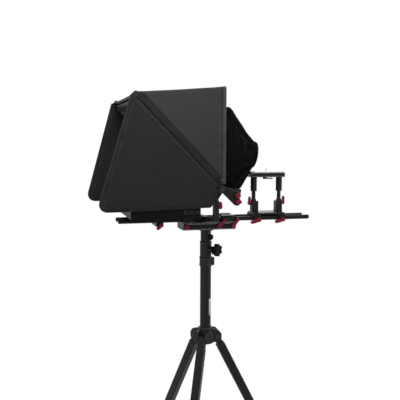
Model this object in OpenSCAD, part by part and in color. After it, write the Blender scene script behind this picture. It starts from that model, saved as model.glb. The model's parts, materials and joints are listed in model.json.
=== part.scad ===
// Teleprompter on a floor stand: hooded beam-splitter mirror over a flat monitor,
// on a pair of rods with a camera riser. Millimetres. +X is the camera side,
// -X the reader's side, -Y the side nearest the viewer, +Z up. The floor is z = 0
// and the stand's column stands on the z axis.

/* [Stand] */
// Leg length from its hinge to the floor, along the leg
leg_reach = 707; // [640:1:860]
// Angle of an open leg from upright
leg_splay = 27; // [22:0.5:31]
// Distance of the leg hinges from the column axis
leg_pivot_r = 38; // [37:1:48]
// Leg profile, measured outwards from the column
leg_w = 30; // [28:0.5:36]
// Leg profile, measured across
leg_t = 28; // [27:0.5:34]
// Length of the upper leg, hinge to lower end
leg_upper_len = 470; // [420:1:520]
// Diameter of the sliding lower leg
leg_lower_d = 22; // [18:0.5:23]
// Length of the sliding lower leg
leg_lower_len = 480; // [420:1:500]
// Diameter of the rubber feet
foot_d = 34; // [30:1:44]
// Diameter of the crown's hub
hub_d = 66; // [60:1:72]
// Hub height above the leg hinges
spider_rise = 34; // [28:1:44]
// Hub depth below the leg hinges
spider_drop = 22; // [18:1:30]
// Thickness of one hinge cheek
cheek_t = 8; // [6:0.5:10]
// Diameter of the leg hinge pins
leg_pin_d = 8; // [6:0.5:10]

/* [Column] */
// Height of the rod axes above the top of the crown
mast_rise = 381; // [340:1:460]
// Outer diameter of the fixed column tube
column_d = 38; // [36:0.5:40]
// Outer diameter of the sliding column tube
inner_d = 30; // [26:0.5:31]
// Wall of both column tubes
tube_wall = 2; // [1.5:0.1:2.4]
// Height of the lower collar of the column clamp
collar_h = 35; // [30:1:45]
// Height of the upper sleeve of the column clamp
sleeve_h = 53; // [48:1:60]
// Bare sliding column between clamp and head socket
column_gap = 1; // [1:1:40]
// Height of the head socket
socket_h = 43; // [40:1:56]
// Diameter across the star knob
star_d = 43; // [38:1:46]
// Length of the sliding column below the clamp
column_tail = 183; // [160:1:190]

/* [Rods and base] */
// Diameter of the support rods
rod_d = 15; // [15:1:19]
// Spacing of the support rods
rod_spacing = 60; // [60:1:70]
// Front end of the rods
rod_front = -306; // [-330:1:-290]
// Rear end of the rods
rod_rear = 368; // [350:1:400]
// Bore of the hollow rods
rod_bore = 11; // [9:0.5:12]
// Front end of the base block
base_front = -91; // [-96:1:-80]
// Rear end of the base block
base_rear = 95; // [90:1:98]
// Width of the base block
base_w = 90; // [88:1:100]
// Height of the base block
base_h = 27; // [26:1:34]
// Height of the rod clamps above the rod axes
clamp_rise = 13; // [11:0.5:16]

/* [Monitor] */
// Front edge of the monitor
mon_front = -288; // [-294:1:-280]
// Depth of the monitor, front to rear
mon_depth = 221; // [205:1:226]
// Width of the monitor
mon_w = 380; // [350:1:384]
// Height of the monitor's case under its bezel
mon_case_h = 40; // [34:1:46]
// Height of the monitor's underside above the rod axes
mon_lift = 23; // [21:0.5:28]
// Wall of the monitor's case
mon_wall = 3; // [2.5:0.5:4]
// Middle of the monitor's rod clamp
mon_clamp_x = -169; // [-200:1:-160]

/* [Mirror] */
// Height of the mirror hinge above the rod axes
hinge_rise = 115; // [112:0.5:120]
// Angle of the mirror from flat
mirror_angle = 45; // [44:0.5:46]
// Length of the mirror frame along its slope, from the hinge
mirror_len = 390; // [370:1:400]
// Width of the mirror frame's rails
rail_w = 16; // [13:0.5:22]
// Depth of the mirror frame's rails
rail_t = 12; // [10:0.5:13]
// Thickness of the glass
glass_t = 3; // [2:0.5:4]
// Inner face of the yoke's uprights
upright_y = 150; // [144:1:150]
// Width of the yoke's uprights
upright_w = 30; // [26:1:30]
// Depth of the yoke's uprights, front to rear
upright_d = 13; // [12:0.5:16]
// Tilt range of the mirror
tilt_range = 8; // [4:1:9]

/* [Hood] */
// Half width of the hood at its rear edge
hood_hw = 202; // [200:1:210]
// Flare of each side towards the reader
hood_flare = 7; // [5:0.5:8]
// Rear edge of the hood
hood_rear = 8; // [6:1:10]
// Height of the hood's rear top edge above the mirror's upper end
hood_headroom = 41; // [38:1:50]
// Height of the hood's rear lower edge above the rod axes
hood_low = 131; // [130:1:136]
// Reach of the hood's top beyond the mirror's upper end
hood_overhang = 6; // [5:0.5:14]
// Drop of the hood's top from rear to front
hood_fall = 25; // [18:1:28]
// Thickness of the stiffened cloth panels
panel_t = 3; // [2:0.5:4]
// Reach of the wings' lower front corners beyond the hood's top
wing_reach = 111; // [98:1:120]
// Height of the wings' front lower corners above the rod axes
wing_low = 48; // [44:1:56]
// Rise of the wings' lower edge from front to rear
wing_rise = 9; // [4:1:14]
// Width of the band round the hood's rear edge
band_w = 26; // [20:1:30]
// Height of the panel between the hood's top and the shroud
header_h = 74; // [50:1:80]
// Radius of the lens end of the shroud
lens_r = 42; // [36:1:46]
// Height of the lens axis above the rod axes
lens_rise = 218; // [214:1:226]
// Rear end of the shroud
shroud_rear = 168; // [160:1:169]
// Sag of the shroud's underside
shroud_sag = 75; // [50:1:78]

/* [Camera riser] */
// Axis of the front riser post
post_front = 173; // [170:1:178]
// Spacing of the riser posts
post_spacing = 94; // [88:1:100]
// Diameter of the riser posts in their sleeves
post_d = 13.5; // [12:0.5:14]
// Diameter of the riser posts under the camera plate
post_top_d = 22; // [18:0.5:24]
// Height of the camera plate's underside above the rod axes
plate_rise = 141; // [136:1:143]
// Thickness of the camera plate
plate_t = 16; // [14:1:17]
// Width of the camera plate
plate_w = 64; // [58:1:76]
// Downward travel of the camera plate
table_travel = 25; // [15:1:26]
// Diameter of the camera screw
camera_screw_d = 6.35; // [6.35:0.01:6.35]

/* [Controls] */
// Stud diameter of knobs and levers
stud_d = 6; // [5:0.5:6]
// Diameter of the round red knobs
knob_d = 20; // [16:1:24]
// Hub diameter of the red levers
lever_hub_d = 14; // [12:0.5:16]
// Arm length of the red levers
lever_arm = 30; // [24:1:34]

/* [Clearances] */
// Gap between fixed pieces in a seat
seat_gap = 0.05; // [0.02:0.01:0.1]
// Radial gap of turning and sliding pieces
turn_gap = 0.1; // [0.05:0.01:0.15]
// Gap between faces that pass each other
face_gap = 0.3; // [0.2:0.05:0.5]

/* [Hidden] */
$fn = 48;
black = "#1d1e20";
dark = "#26282a";
cloth = "#2d2e31";
red = "#a3142e";
silver = "#b9bcc0";
rubber = "#141414";

pivot_z = leg_reach * cos(leg_splay);
spider_top = pivot_z + spider_rise;
rod_z = spider_top + mast_rise;
rod_r = rod_d / 2;
rod_y = rod_spacing / 2;
base_top = rod_z - rod_r - 0.5;
base_low = base_top - base_h;
socket_low = base_low - socket_h;
sleeve_top = socket_low - column_gap;
collar_top = sleeve_top - sleeve_h;
collar_low = collar_top - collar_h;
tube_seat = 17;
column_r = column_d / 2;
inner_r = inner_d / 2;
stud_r = stud_d / 2;
star_angle = -52;
star_z = sleeve_top - 27;
star_seat = column_r + 12;
socket_r = inner_r + 3;
socket_knob_z = socket_low + 15;
socket_knob_angle = -60;
socket_seat = socket_r + 3;

tongue_w = leg_t - 3;
tongue_r = 11;
leg_foot_in = 25;
lock_depth = 36;
lock_z = -leg_upper_len + lock_depth / 2;
lock_x = leg_w / 2 + 9;
lock_w = 18;
leg_turns = [0, 240, 120];

base_side = base_w / 2 - 1.5;
control_z = base_low + 13;
front_knob_x = base_front + 11;
middle_lever_x = 34;
middle_lever_turn = 52;
rear_lever_turn = 58;
rear_lever_x = base_rear - 11;
front_clamp = [base_front, base_front + 36];
rear_clamp = [base_rear - 48, base_rear];
clamp_half = base_w / 2;
block_half = rod_y + 13;

mon_rear = mon_front + mon_depth;
mon_low = rod_z + mon_lift;
mon_case_top = mon_low + mon_case_h;
screen_t = 4;
bezel_t = 6;
screen_x = mon_depth - 2 * mon_wall;
screen_y = mon_w - 2 * mon_wall;
mon_clamp_len = 24;
mon_clamp_drop = 20;
mon_lever_x = mon_clamp_x + 3;
mon_lever_z = rod_z - 13;
mon_lever_turn = 235;
cradle_low = rod_z + clamp_rise + 1;
port_z = mon_low + 20;

yoke_x = -12.5;
upright_rise = 78;
saddle_drop = rod_r - 1.5;
hinge_z = rod_z + hinge_rise;
yoke_rise = 22;
yoke_top = rod_z + yoke_rise;
socket_top = rod_z + upright_rise;
upright_out = upright_y + upright_w;
lift_wall = 3;
lift_out = upright_out - lift_wall - face_gap;
ear_t = 6.7;
tail_in = lift_out + face_gap;
tail_t = 8;
tail_out = tail_in + tail_t;
hinge_pin_r = 5;
ear_r = 13;
tail_tip = [52, -42];
tail_knob = [52, -22];
knob_reach = norm(tail_knob);
knob_angle = atan2(tail_knob[1], tail_knob[0]);
tail_w = 26;
upright_knob_z = rod_z + 60;
mirror_gap = 14.5;
glass_lip = 6;

hood_front = -mirror_len * cos(mirror_angle) - hood_overhang;
hood_top = hinge_rise + mirror_len * sin(mirror_angle) + hood_headroom;
hood_top_z = rod_z + hood_top;
wing_front = hood_front - wing_reach;
wing_lean = atan(tan(hood_flare) / tan(mirror_angle));
hood_slope = atan(hood_fall / (hood_rear - hood_front));
seam = 0.8;
post_x = [post_front, post_front + post_spacing];
riser_front = post_front - 9;
riser_rear = post_x[1] + 9;
riser_overhang = 1;
foot_len = 23;
sleeve_t = 24;
sleeve_rise = 57;
riser_plate_t = 6;
post_neck = 7;
block_rise = 12;
plate_z = rod_z + plate_rise;
plate_front = post_front - 19;
plate_rear = post_x[1] + 10;
quick_front = plate_front + 11;
quick_rear = plate_rear - 2;
quick_t = 5;
quick_z = plate_z + plate_t;
screw_x = (quick_front + quick_rear) / 2;
release_reach = 32;
release_x = post_front + release_reach;
release_y = -plate_w / 2 + 9;

// Unit vector
function unit(v) = v / norm(v);

// Points of an arc round c
function arc(c, r, a0, a1, n) = [for (i = [0:n])
    let (a = a0 + (a1 - a0) * i / n) c + r * [cos(a), sin(a)]];

// Turn from angle a0 to angle a1 by the short way
function short_turn(a0, a1) = let (d = (a1 - a0) % 360) d > 180 ? d - 360 : d < -180 ? d + 360 : d;

// Corner b between a and c, rounded to radius r
function corner(a, b, c, r, n) = let (
        u = unit(a - b),
        v = unit(c - b),
        half = acos(u * v) / 2,
        mid = b + unit(u + v) * r / sin(half),
        p = b + u * r / tan(half) - mid,
        q = b + v * r / tan(half) - mid,
        a0 = atan2(p[1], p[0])
    ) arc(mid, r, a0, a0 + short_turn(a0, atan2(q[1], q[0])), n);

// Outline with one radius for each corner
function rounded(pts, radii, n = 6) = let (k = len(pts)) [for (i = [0:k - 1])
        each (radii[i] > 0
            ? corner(pts[(i + k - 1) % k], pts[i], pts[(i + 1) % k], radii[i], n)
            : [pts[i]])];

// Rectangle outline from two corners, all corners rounded
function plate_outline(x0, y0, x1, y1, r) =
    rounded([[x0, y0], [x1, y0], [x1, y1], [x0, y1]], [r, r, r, r]);

// Outer face of the hood's side at x
function side_y(x) = hood_hw + (hood_rear - x) * tan(hood_flare);

// Place along a side panel for a place along x
function along(x) = (hood_rear - x) / cos(hood_flare);

// Top line of the hood's sides at x, above the rod axes
function roof_z(x) = hood_top - (hood_rear - x) * tan(hood_slope);

// Outer face of a wing at height z above the rod axes
function wing_y(z) = side_y(0) + (z - hinge_rise) * tan(wing_lean);

// Inner face of the hood's side at x, with the gap that a piece inside it keeps
function inside_y(x) = side_y(x) - (panel_t + face_gap) / cos(hood_flare);

// Half width of the mirror at distance q from its hinge, on its middle plane
function frame_hw(q) = inside_y(-q * cos(mirror_angle));

// Signed power, for outlines between a box and a circle
function spow(v, e) = sign(v) * pow(abs(v), e);

// Height of the shroud's top at t, a fraction of its length from the hood: low at the panel, then full
function shroud_top(t) = (hood_top - 10) * (1 - t) + (lens_rise + lens_r) * t
    - header_h * (1 - t) * exp(-pow(t / 0.15, 2));

// Height of the shroud's underside at t before it sags
function shroud_low(t) = (hood_low + 12) * (1 - t) + (lens_rise - lens_r) * t;

// Points of one ring of the shroud, drawn in by skin
function shroud_ring(t, skin, n) = let (
        e = 2 / (9 * (1 - t) * (1 - t) + 2),
        hw = (hood_hw - 6) * (1 - t) + lens_r * t - skin,
        hh = (shroud_top(t) - shroud_low(t)) / 2 - skin,
        zc = (shroud_top(t) + shroud_low(t)) / 2
    ) [for (i = [0:n - 1]) let (a = 360 * (i + 0.5) / n) [
            hood_rear + face_gap + (shroud_rear - hood_rear) * t + 6 * t * sin(a),
            hw * spow(cos(a), e),
            rod_z + zc + hh * spow(sin(a), e) - shroud_sag * sin(180 * t) * max(0, -sin(a))]];

module at_leg(i) {
    rotate([0, 0, leg_turns[i]])
        translate([leg_pivot_r, 0, pivot_z])
            rotate([0, -leg_splay, 0])
                children();
}

// Extrude an outline drawn in x and z, from y0 to y1
module wall_y(y0, y1) {
    translate([0, y1, 0])
        rotate([90, 0, 0])
            linear_extrude(y1 - y0)
                children();
}

// Both sides of the middle plane
module both_sides() {
    children();
    mirror([0, 1, 0])
        children();
}

// Turn a control made along +z so that it points along -y
module facing_left() {
    rotate([90, 0, 0])
        children();
}

// Pair of rod bores
module rod_bores(x0, x1, gap) {
    both_sides()
        translate([x0, rod_y, rod_z])
            rotate([0, 90, 0])
                cylinder(r = rod_r + gap, h = x1 - x0);
}

// Slits that let a clamp close on the rods
module rod_slits(x0, x1, half) {
    both_sides()
        translate([x0, rod_y, rod_z - 0.8])
            cube([x1 - x0, half, 1.6]);
}

// Round fluted knob along +z, its stud below
module fluted_knob(d, h, flutes, stud_len) {
    difference() {
        union() {
            cylinder(d = d * 0.6, h = h);
            translate([0, 0, h * 0.25])
                cylinder(d = d, h = h * 0.65);
        }
        for (i = [0:flutes - 1])
            rotate([0, 0, 360 * i / flutes])
                translate([d / 2 + d * 0.05, 0, 0])
                    cylinder(d = d * 0.22, h = h + 1);
    }
    translate([0, 0, -stud_len])
        cylinder(r = stud_r, h = stud_len + h / 2);
}

// Lever along +z, its arm turned to the angle a, its stud below
module clamp_lever(arm, a, stud_len) {
    hub_h = 11;
    w = lever_hub_d;
    cylinder(d = w, h = hub_h);
    translate([0, 0, hub_h - 8])
        rotate([0, 0, a])
            linear_extrude(7)
                polygon(rounded(
                    [[0, -w * 0.45], [arm * 0.5, -w * 0.42], [arm, -w * 0.62], [arm, w * 0.05],
                        [arm * 0.5, w * 0.3], [0, w * 0.45]],
                    [0, arm, 3, 3, arm, 0]));
    translate([0, 0, -stud_len])
        cylinder(r = stud_r, h = stud_len + hub_h / 2);
}

// Hole for the stud of a control along -z
module stud_hole(depth) {
    translate([0, 0, -depth])
        cylinder(r = stud_r + turn_gap, h = depth + 1);
}

module spider() {
    r = hub_d / 2;
    color(black)
        difference() {
            union() {
                translate([0, 0, pivot_z])
                    rotate_extrude()
                        polygon([[0, -spider_drop], [r - 5, -spider_drop], [r, 5 - spider_drop], [r, 10],
                            [r - 7, spider_rise - 8], [column_r + 5, spider_rise], [0, spider_rise]]);
                for (a = leg_turns)
                    rotate([0, 0, a])
                        both_sides()
                            translate([0, 0, pivot_z])
                                wall_y(tongue_w / 2 + face_gap, tongue_w / 2 + face_gap + cheek_t)
                                    polygon(rounded(
                                        [[12, 3 - spider_drop], [leg_pivot_r, -17], [leg_pivot_r + 15, -13],
                                            [leg_pivot_r + 16, 10], [leg_pivot_r + 6, 23],
                                            [20, spider_rise - 4]],
                                        [0, 8, 10, 10, 12, 0]));
            }
            translate([0, 0, pivot_z - spider_drop - 1])
                cylinder(r = column_r + seat_gap, h = spider_drop + spider_rise + 2);
            for (a = leg_turns)
                rotate([0, 0, a]) {
                    translate([leg_pivot_r - tongue_r - 2, -tongue_w / 2 - face_gap,
                        pivot_z - spider_drop - 1])
                        cube([60, tongue_w + 2 * face_gap, spider_drop + spider_rise + 2]);
                    translate([leg_pivot_r, 0, pivot_z])
                        rotate([90, 0, 0])
                            cylinder(r = leg_pin_d / 2 + seat_gap, h = 80, center = true);
                }
        }
}

module leg_hinge_pins() {
    w = tongue_w + 2 * face_gap + 2 * cheek_t;
    color(black)
        for (a = leg_turns)
            rotate([0, 0, a])
                translate([leg_pivot_r, 0, pivot_z])
                    rotate([90, 0, 0]) {
                        cylinder(d = leg_pin_d, h = w + 2, center = true);
                        translate([0, 0, w / 2 + seat_gap])
                            cylinder(d = leg_pin_d + 5, h = 3);
                    }
}

module column_tube() {
    low = pivot_z - spider_drop + 2;
    h = collar_low + tube_seat - low;
    color(black)
        translate([0, 0, low])
            difference() {
                cylinder(r = column_r, h = h);
                translate([0, 0, -1])
                    cylinder(r = column_r - tube_wall, h = h + 2);
            }
}

module column_clamp() {
    r = column_r + 3;
    s = column_r + 1;
    color(black)
        difference() {
            union() {
                rotate_extrude()
                    polygon([[0, collar_low], [r - 2, collar_low], [r, collar_low + 2],
                        [r, collar_low + 10],
                        [r - 0.8, collar_low + 11], [r - 0.8, collar_top - 9], [r, collar_top - 8],
                        [r, collar_top - 2], [r - 2, collar_top], [s, collar_top], [s, sleeve_top - 5],
                        [s + 1.5, sleeve_top - 4], [s + 1.5, sleeve_top - 1], [s, sleeve_top],
                        [0, sleeve_top]]);
                translate([column_r, -9, collar_low + 4])
                    cube([10, 18, collar_h - 8]);
                rotate([0, 0, star_angle])
                    translate([inner_r + 2, 0, star_z])
                        rotate([0, 90, 0])
                            cylinder(d = 22, h = star_seat - inner_r - 2);
            }
            translate([0, 0, collar_low - 1])
                cylinder(r = column_r + seat_gap, h = tube_seat + 1 + seat_gap);
            translate([0, 0, collar_low])
                cylinder(r = inner_r + turn_gap, h = sleeve_top - collar_low + 1);
            translate([0, -1, collar_low - 1])
                cube([60, 2, collar_h]);
            rotate([0, 0, star_angle])
                translate([star_seat, 0, star_z])
                    rotate([0, 90, 0])
                        stud_hole(star_seat - inner_r + 1);
        }
}

module star_knob() {
    lobes = 6;
    lobe_r = star_d / 6;
    color(rubber)
        rotate([0, 0, star_angle])
            translate([star_seat + face_gap, 0, star_z])
                rotate([0, 90, 0]) {
                    cylinder(d = 16, h = 12);
                    translate([0, 0, 9]) {
                        cylinder(r = star_d / 2 - lobe_r, h = 15);
                        for (i = [0:lobes - 1])
                            rotate([0, 0, 360 * i / lobes])
                                translate([star_d / 2 - lobe_r, 0, 0])
                                    cylinder(r = lobe_r, h = 15);
                    }
                    translate([0, 0, inner_r - star_seat])
                        cylinder(r = stud_r, h = star_seat - inner_r);
                }
}

module inner_column() {
    low = collar_low - column_tail;
    h = socket_low + 31 - face_gap - low;
    color(black)
        translate([0, 0, low])
            difference() {
                cylinder(r = inner_r, h = h);
                translate([0, 0, -1])
                    cylinder(r = inner_r - tube_wall, h = h + 2);
            }
}

module top_socket() {
    color(black)
        difference() {
            union() {
                rotate_extrude()
                    polygon([[0, socket_low], [socket_r - 1.5, socket_low], [socket_r, socket_low + 1.5],
                        [socket_r, base_low - 9], [socket_r + 3, base_low - 6],
                        [socket_r + 8, base_low - 6], [socket_r + 8, base_low], [0, base_low]]);
                rotate([0, 0, socket_knob_angle])
                    translate([inner_r + 2, 0, socket_knob_z])
                        rotate([0, 90, 0])
                            cylinder(d = 16, h = socket_seat - inner_r - 2);
            }
            translate([0, 0, socket_low - 1])
                cylinder(r = inner_r + turn_gap, h = 32);
            rotate([0, 0, socket_knob_angle])
                translate([socket_seat, 0, socket_knob_z])
                    rotate([0, 90, 0])
                        stud_hole(socket_seat - inner_r + 1);
        }
}

module socket_knob() {
    color(rubber)
        rotate([0, 0, socket_knob_angle])
            translate([socket_seat + face_gap, 0, socket_knob_z])
                rotate([0, 90, 0])
                    fluted_knob(knob_d, 7, 12, socket_seat - inner_r);
}

module leg_upper(i) {
    w = leg_w / 2;
    t = leg_t / 2;
    cut = 5;
    color(black)
        at_leg(i)
            difference() {
                union() {
                    rotate([90, 0, 0])
                        cylinder(r = tongue_r, h = tongue_w, center = true);
                    translate([-tongue_r, -tongue_w / 2, -46])
                        cube([2 * tongue_r, tongue_w, 46]);
                    translate([0, 0, -leg_upper_len])
                        linear_extrude(leg_upper_len - 34)
                            polygon(rounded(
                                [[-w, -t], [w, -t], [w, -cut], [w - 1.5, 0], [w, cut], [w, t], [-w, t]],
                                [5, 5, 0, 0, 0, 5, 5]));
                    translate([0, 0, -leg_upper_len])
                        linear_extrude(lock_depth)
                            polygon(plate_outline(-w - 4, -t - 4, w + 4, t + 4, 7));
                    both_sides()
                        translate([0, 0, lock_z])
                            wall_y(lock_w / 2 + face_gap, lock_w / 2 + face_gap + 4)
                                polygon(rounded([[w, -9], [lock_x + 5, -6], [lock_x + 5, 6], [w, 9]],
                                    [0, 4, 4, 0]));
                }
                rotate([90, 0, 0])
                    cylinder(r = leg_pin_d / 2 + turn_gap, h = 60, center = true);
                translate([0, 0, -leg_upper_len - 1])
                    cylinder(d = leg_lower_d + 2 * turn_gap, h = lock_depth + 2);
                translate([0, 0, lock_depth - leg_upper_len])
                    cylinder(d = leg_lower_d + 1, h = leg_upper_len - lock_depth - 52);
                translate([lock_x, 0, lock_z])
                    rotate([90, 0, 0])
                        cylinder(r = 2.5 + turn_gap, h = 60, center = true);
            }
}

module leg_lower(i) {
    color(black)
        at_leg(i)
            translate([0, 0, leg_foot_in - leg_reach])
                difference() {
                    cylinder(d = leg_lower_d, h = leg_lower_len);
                    translate([0, 0, -1])
                        cylinder(d = leg_lower_d - 2 * tube_wall, h = leg_lower_len + 2);
                }
}

module leg_foot(i) {
    color(rubber)
        difference() {
            at_leg(i)
                difference() {
                    translate([0, 0, -leg_reach - 20])
                        rotate_extrude()
                            polygon([[0, 0], [foot_d / 2, 0], [foot_d / 2, 42], [foot_d / 2 - 3, 48],
                                [leg_lower_d / 2 + 2, 70], [0, 70]]);
                    translate([0, 0, leg_foot_in - leg_reach - seat_gap])
                        cylinder(r = leg_lower_d / 2 + seat_gap, h = 60);
                }
            translate([-leg_reach, -leg_reach, -foot_d])
                cube([2 * leg_reach, 2 * leg_reach, foot_d]);
        }
}

module leg_lock(i) {
    reach = 30;
    color(rubber)
        at_leg(i)
            translate([lock_x, 0, lock_z]) {
                rotate([90, 0, 0])
                    cylinder(r = 4.5, h = lock_w, center = true);
                rotate([90, 0, 0])
                    cylinder(r = 2.5, h = lock_w + 2 * face_gap + 8, center = true);
                wall_y(-lock_w / 2, lock_w / 2)
                    polygon(rounded([[-2.5, 0], [4.5, 0], [6, reach * 0.6], [9, reach], [5, reach + 2],
                        [-1, reach * 0.7]], [0, 0, 10, 1.5, 1.5, 10]));
            }
}

module base_plate() {
    h = base_w / 2;
    color(black)
        difference() {
            translate([base_front, 0, base_top])
                rotate([90, 0, 90])
                    linear_extrude(base_rear - base_front)
                        polygon([[-h, -6], [-h, -1.5], [1.5 - h, 0], [h - 1.5, 0], [h, -1.5], [h, -6],
                            [base_side, -7], [base_side, 3 - base_h], [base_side - 3, -base_h],
                            [3 - base_side, -base_h], [-base_side, 3 - base_h], [-base_side, -7]]);
            translate([front_clamp[1] + 6, -18, base_top - 14])
                cube([rear_clamp[0] - front_clamp[1] - 12, 36, 20]);
            for (x = [front_knob_x, middle_lever_x, rear_lever_x])
                translate([x, -base_side, control_z])
                    facing_left()
                        stud_hole(13);
        }
}

module rod_clamps() {
    rise = clamp_rise + rod_z - base_top;
    h = clamp_half;
    color(dark)
        for (c = [front_clamp, rear_clamp])
            difference() {
                translate([c[0], 0, base_top])
                    rotate([90, 0, 90])
                        linear_extrude(c[1] - c[0])
                            polygon([[1.5 - h, 0], [h - 1.5, 0], [h, 2], [h, rise - 5], [h - 5, rise],
                                [rod_y - 12, rise], [rod_y - 16, rise - 7], [16 - rod_y, rise - 7],
                                [12 - rod_y, rise], [5 - h, rise], [-h, rise - 5], [-h, 2]]);
                rod_bores(c[0] - 1, c[1] + 1, seat_gap);
                rod_slits(c[0] - 1, c[1] + 1, h);
            }
}

module rods() {
    len = rod_rear - rod_front;
    color(black)
        both_sides()
            translate([rod_front, rod_y, rod_z])
                rotate([0, 90, 0])
                    difference() {
                        cylinder(r = rod_r, h = len);
                        translate([0, 0, -1])
                            cylinder(d = rod_bore, h = len + 2);
                    }
}

module base_knob_front() {
    color(red)
        translate([front_knob_x, -base_side - face_gap, control_z])
            facing_left()
                fluted_knob(17, 12, 10, 11);
}

module base_lever(x, a) {
    color(red)
        translate([x, -base_side - face_gap, control_z])
            facing_left()
                clamp_lever(lever_arm, a, 11);
}

module monitor_cradle() {
    x0 = mon_clamp_x - mon_clamp_len / 2;
    x1 = mon_clamp_x + mon_clamp_len / 2;
    wing = mon_w * 0.2;
    color(dark)
        difference() {
            union() {
                translate([x0, -block_half, rod_z - mon_clamp_drop])
                    cube([mon_clamp_len, 2 * block_half, mon_clamp_drop + cradle_low - rod_z]);
                translate([0, 0, cradle_low])
                    linear_extrude(mon_low - cradle_low)
                        difference() {
                            polygon(plate_outline(mon_front + 18, -wing, mon_rear - 14, wing, 8));
                            for (y = [-0.55, 0.55])
                                translate([mon_clamp_x + mon_clamp_len, y * wing])
                                    polygon(plate_outline(0, -wing * 0.3, mon_rear - mon_clamp_x - 62,
                                        wing * 0.3, 5));
                        }
            }
            rod_bores(x0 - 1, x1 + 1, turn_gap);
            rod_slits(x0 - 1, x1 + 1, block_half);
            translate([mon_lever_x, -block_half, mon_lever_z])
                facing_left()
                    stud_hole(14);
        }
}

module monitor_lever() {
    color(red)
        translate([mon_lever_x, -block_half - face_gap, mon_lever_z])
            facing_left()
                clamp_lever(lever_arm * 0.67, mon_lever_turn, 12);
}

module monitor_case() {
    y = mon_w / 2;
    color(dark)
        difference() {
            translate([0, 0, mon_low])
                linear_extrude(mon_case_h)
                    polygon(plate_outline(mon_front, -y, mon_rear, y, 7));
            translate([0, 0, mon_low + mon_wall])
                linear_extrude(mon_case_h)
                    polygon(plate_outline(mon_front + mon_wall + 3, mon_wall + 3 - y,
                        mon_rear - mon_wall - 3, y - mon_wall - 3, 4));
            translate([0, 0, mon_case_top - screen_t])
                linear_extrude(mon_case_h)
                    polygon(plate_outline(mon_front + mon_wall, mon_wall - y, mon_rear - mon_wall,
                        y - mon_wall, 4));
            for (x = [48, 29])
                translate([mon_rear - x, -y - 1, port_z])
                    cube([14 + 2 * seat_gap, 20, 11 + 2 * seat_gap], center = true);
            translate([mon_rear - 12, -y + 8, port_z])
                rotate([90, 0, 0])
                    cylinder(r = 5 + seat_gap, h = 12);
        }
}

module monitor_ports() {
    y = -mon_w / 2;
    color(dark)
        difference() {
            union() {
                for (x = [48, 29])
                    translate([mon_rear - x - 7, y - 2, port_z - 5.5])
                        cube([14, 10, 11]);
                translate([mon_rear - 12, y + 7, port_z])
                    rotate([90, 0, 0])
                        cylinder(r = 5, h = 9);
            }
            for (x = [48, 29])
                translate([mon_rear - x - 5.5, y - 3, port_z - 3.5])
                    cube([11, 8, 7]);
            translate([mon_rear - 12, y + 3, port_z])
                rotate([90, 0, 0])
                    cylinder(r = 3, h = 9);
        }
}

module monitor_bezel() {
    y = mon_w / 2;
    color(black)
        translate([0, 0, mon_case_top])
            difference() {
                linear_extrude(bezel_t)
                    polygon(plate_outline(mon_front, -y, mon_rear, y, 7));
                translate([0, 0, -1])
                    linear_extrude(bezel_t + 2)
                        polygon(plate_outline(mon_front + 10, 17 - y, mon_rear - 10, y - 17, 2));
            }
}

module monitor_screen() {
    color("#101214")
        translate([mon_front + mon_wall + seat_gap, -screen_y / 2 + seat_gap, mon_case_top - screen_t])
            linear_extrude(screen_t)
                polygon(plate_outline(0, 0, screen_x - 2 * seat_gap, screen_y - 2 * seat_gap, 4));
}

module yoke() {
    x0 = yoke_x - upright_d / 2;
    saddle_top = rod_r + 3.5;
    bar_low = yoke_rise - 13;
    yoke_edge = [[block_half, -saddle_drop], [block_half + 4, -saddle_drop + 4], [upright_y, bar_low],
        [upright_out, bar_low], [upright_out, yoke_rise], [upright_y, yoke_rise],
        [block_half + 2, saddle_top], [block_half - 4, saddle_top]];
    color(dark)
        difference() {
            union() {
                translate([x0, 0, rod_z])
                    rotate([90, 0, 90])
                        linear_extrude(upright_d)
                            polygon(concat(yoke_edge, [for (i = [len(yoke_edge) - 1:-1:0])
                                [-yoke_edge[i][0], yoke_edge[i][1]]]));
                both_sides()
                    translate([x0, upright_y, yoke_top - 1])
                        cube([upright_d, upright_w, socket_top - yoke_top + 1]);
            }
            rod_bores(x0 - 1, x0 + upright_d + 1, seat_gap);
            both_sides()
                translate([x0 + lift_wall, upright_y + lift_wall, yoke_top + 3])
                    cube([upright_d - 2 * lift_wall, upright_w - 2 * lift_wall, upright_rise]);
            both_sides()
                translate([yoke_x, upright_y + upright_w / 2, upright_knob_z])
                    rotate([0, 90, 0])
                        cylinder(r = stud_r + turn_gap, h = upright_d);
        }
}

module upright_knob(side) {
    color(red)
        translate([yoke_x + upright_d / 2 + face_gap, side * (upright_y + upright_w / 2), upright_knob_z])
            rotate([0, 90, 0])
                fluted_knob(knob_d + 4, 13, 12, lift_wall);
}

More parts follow.
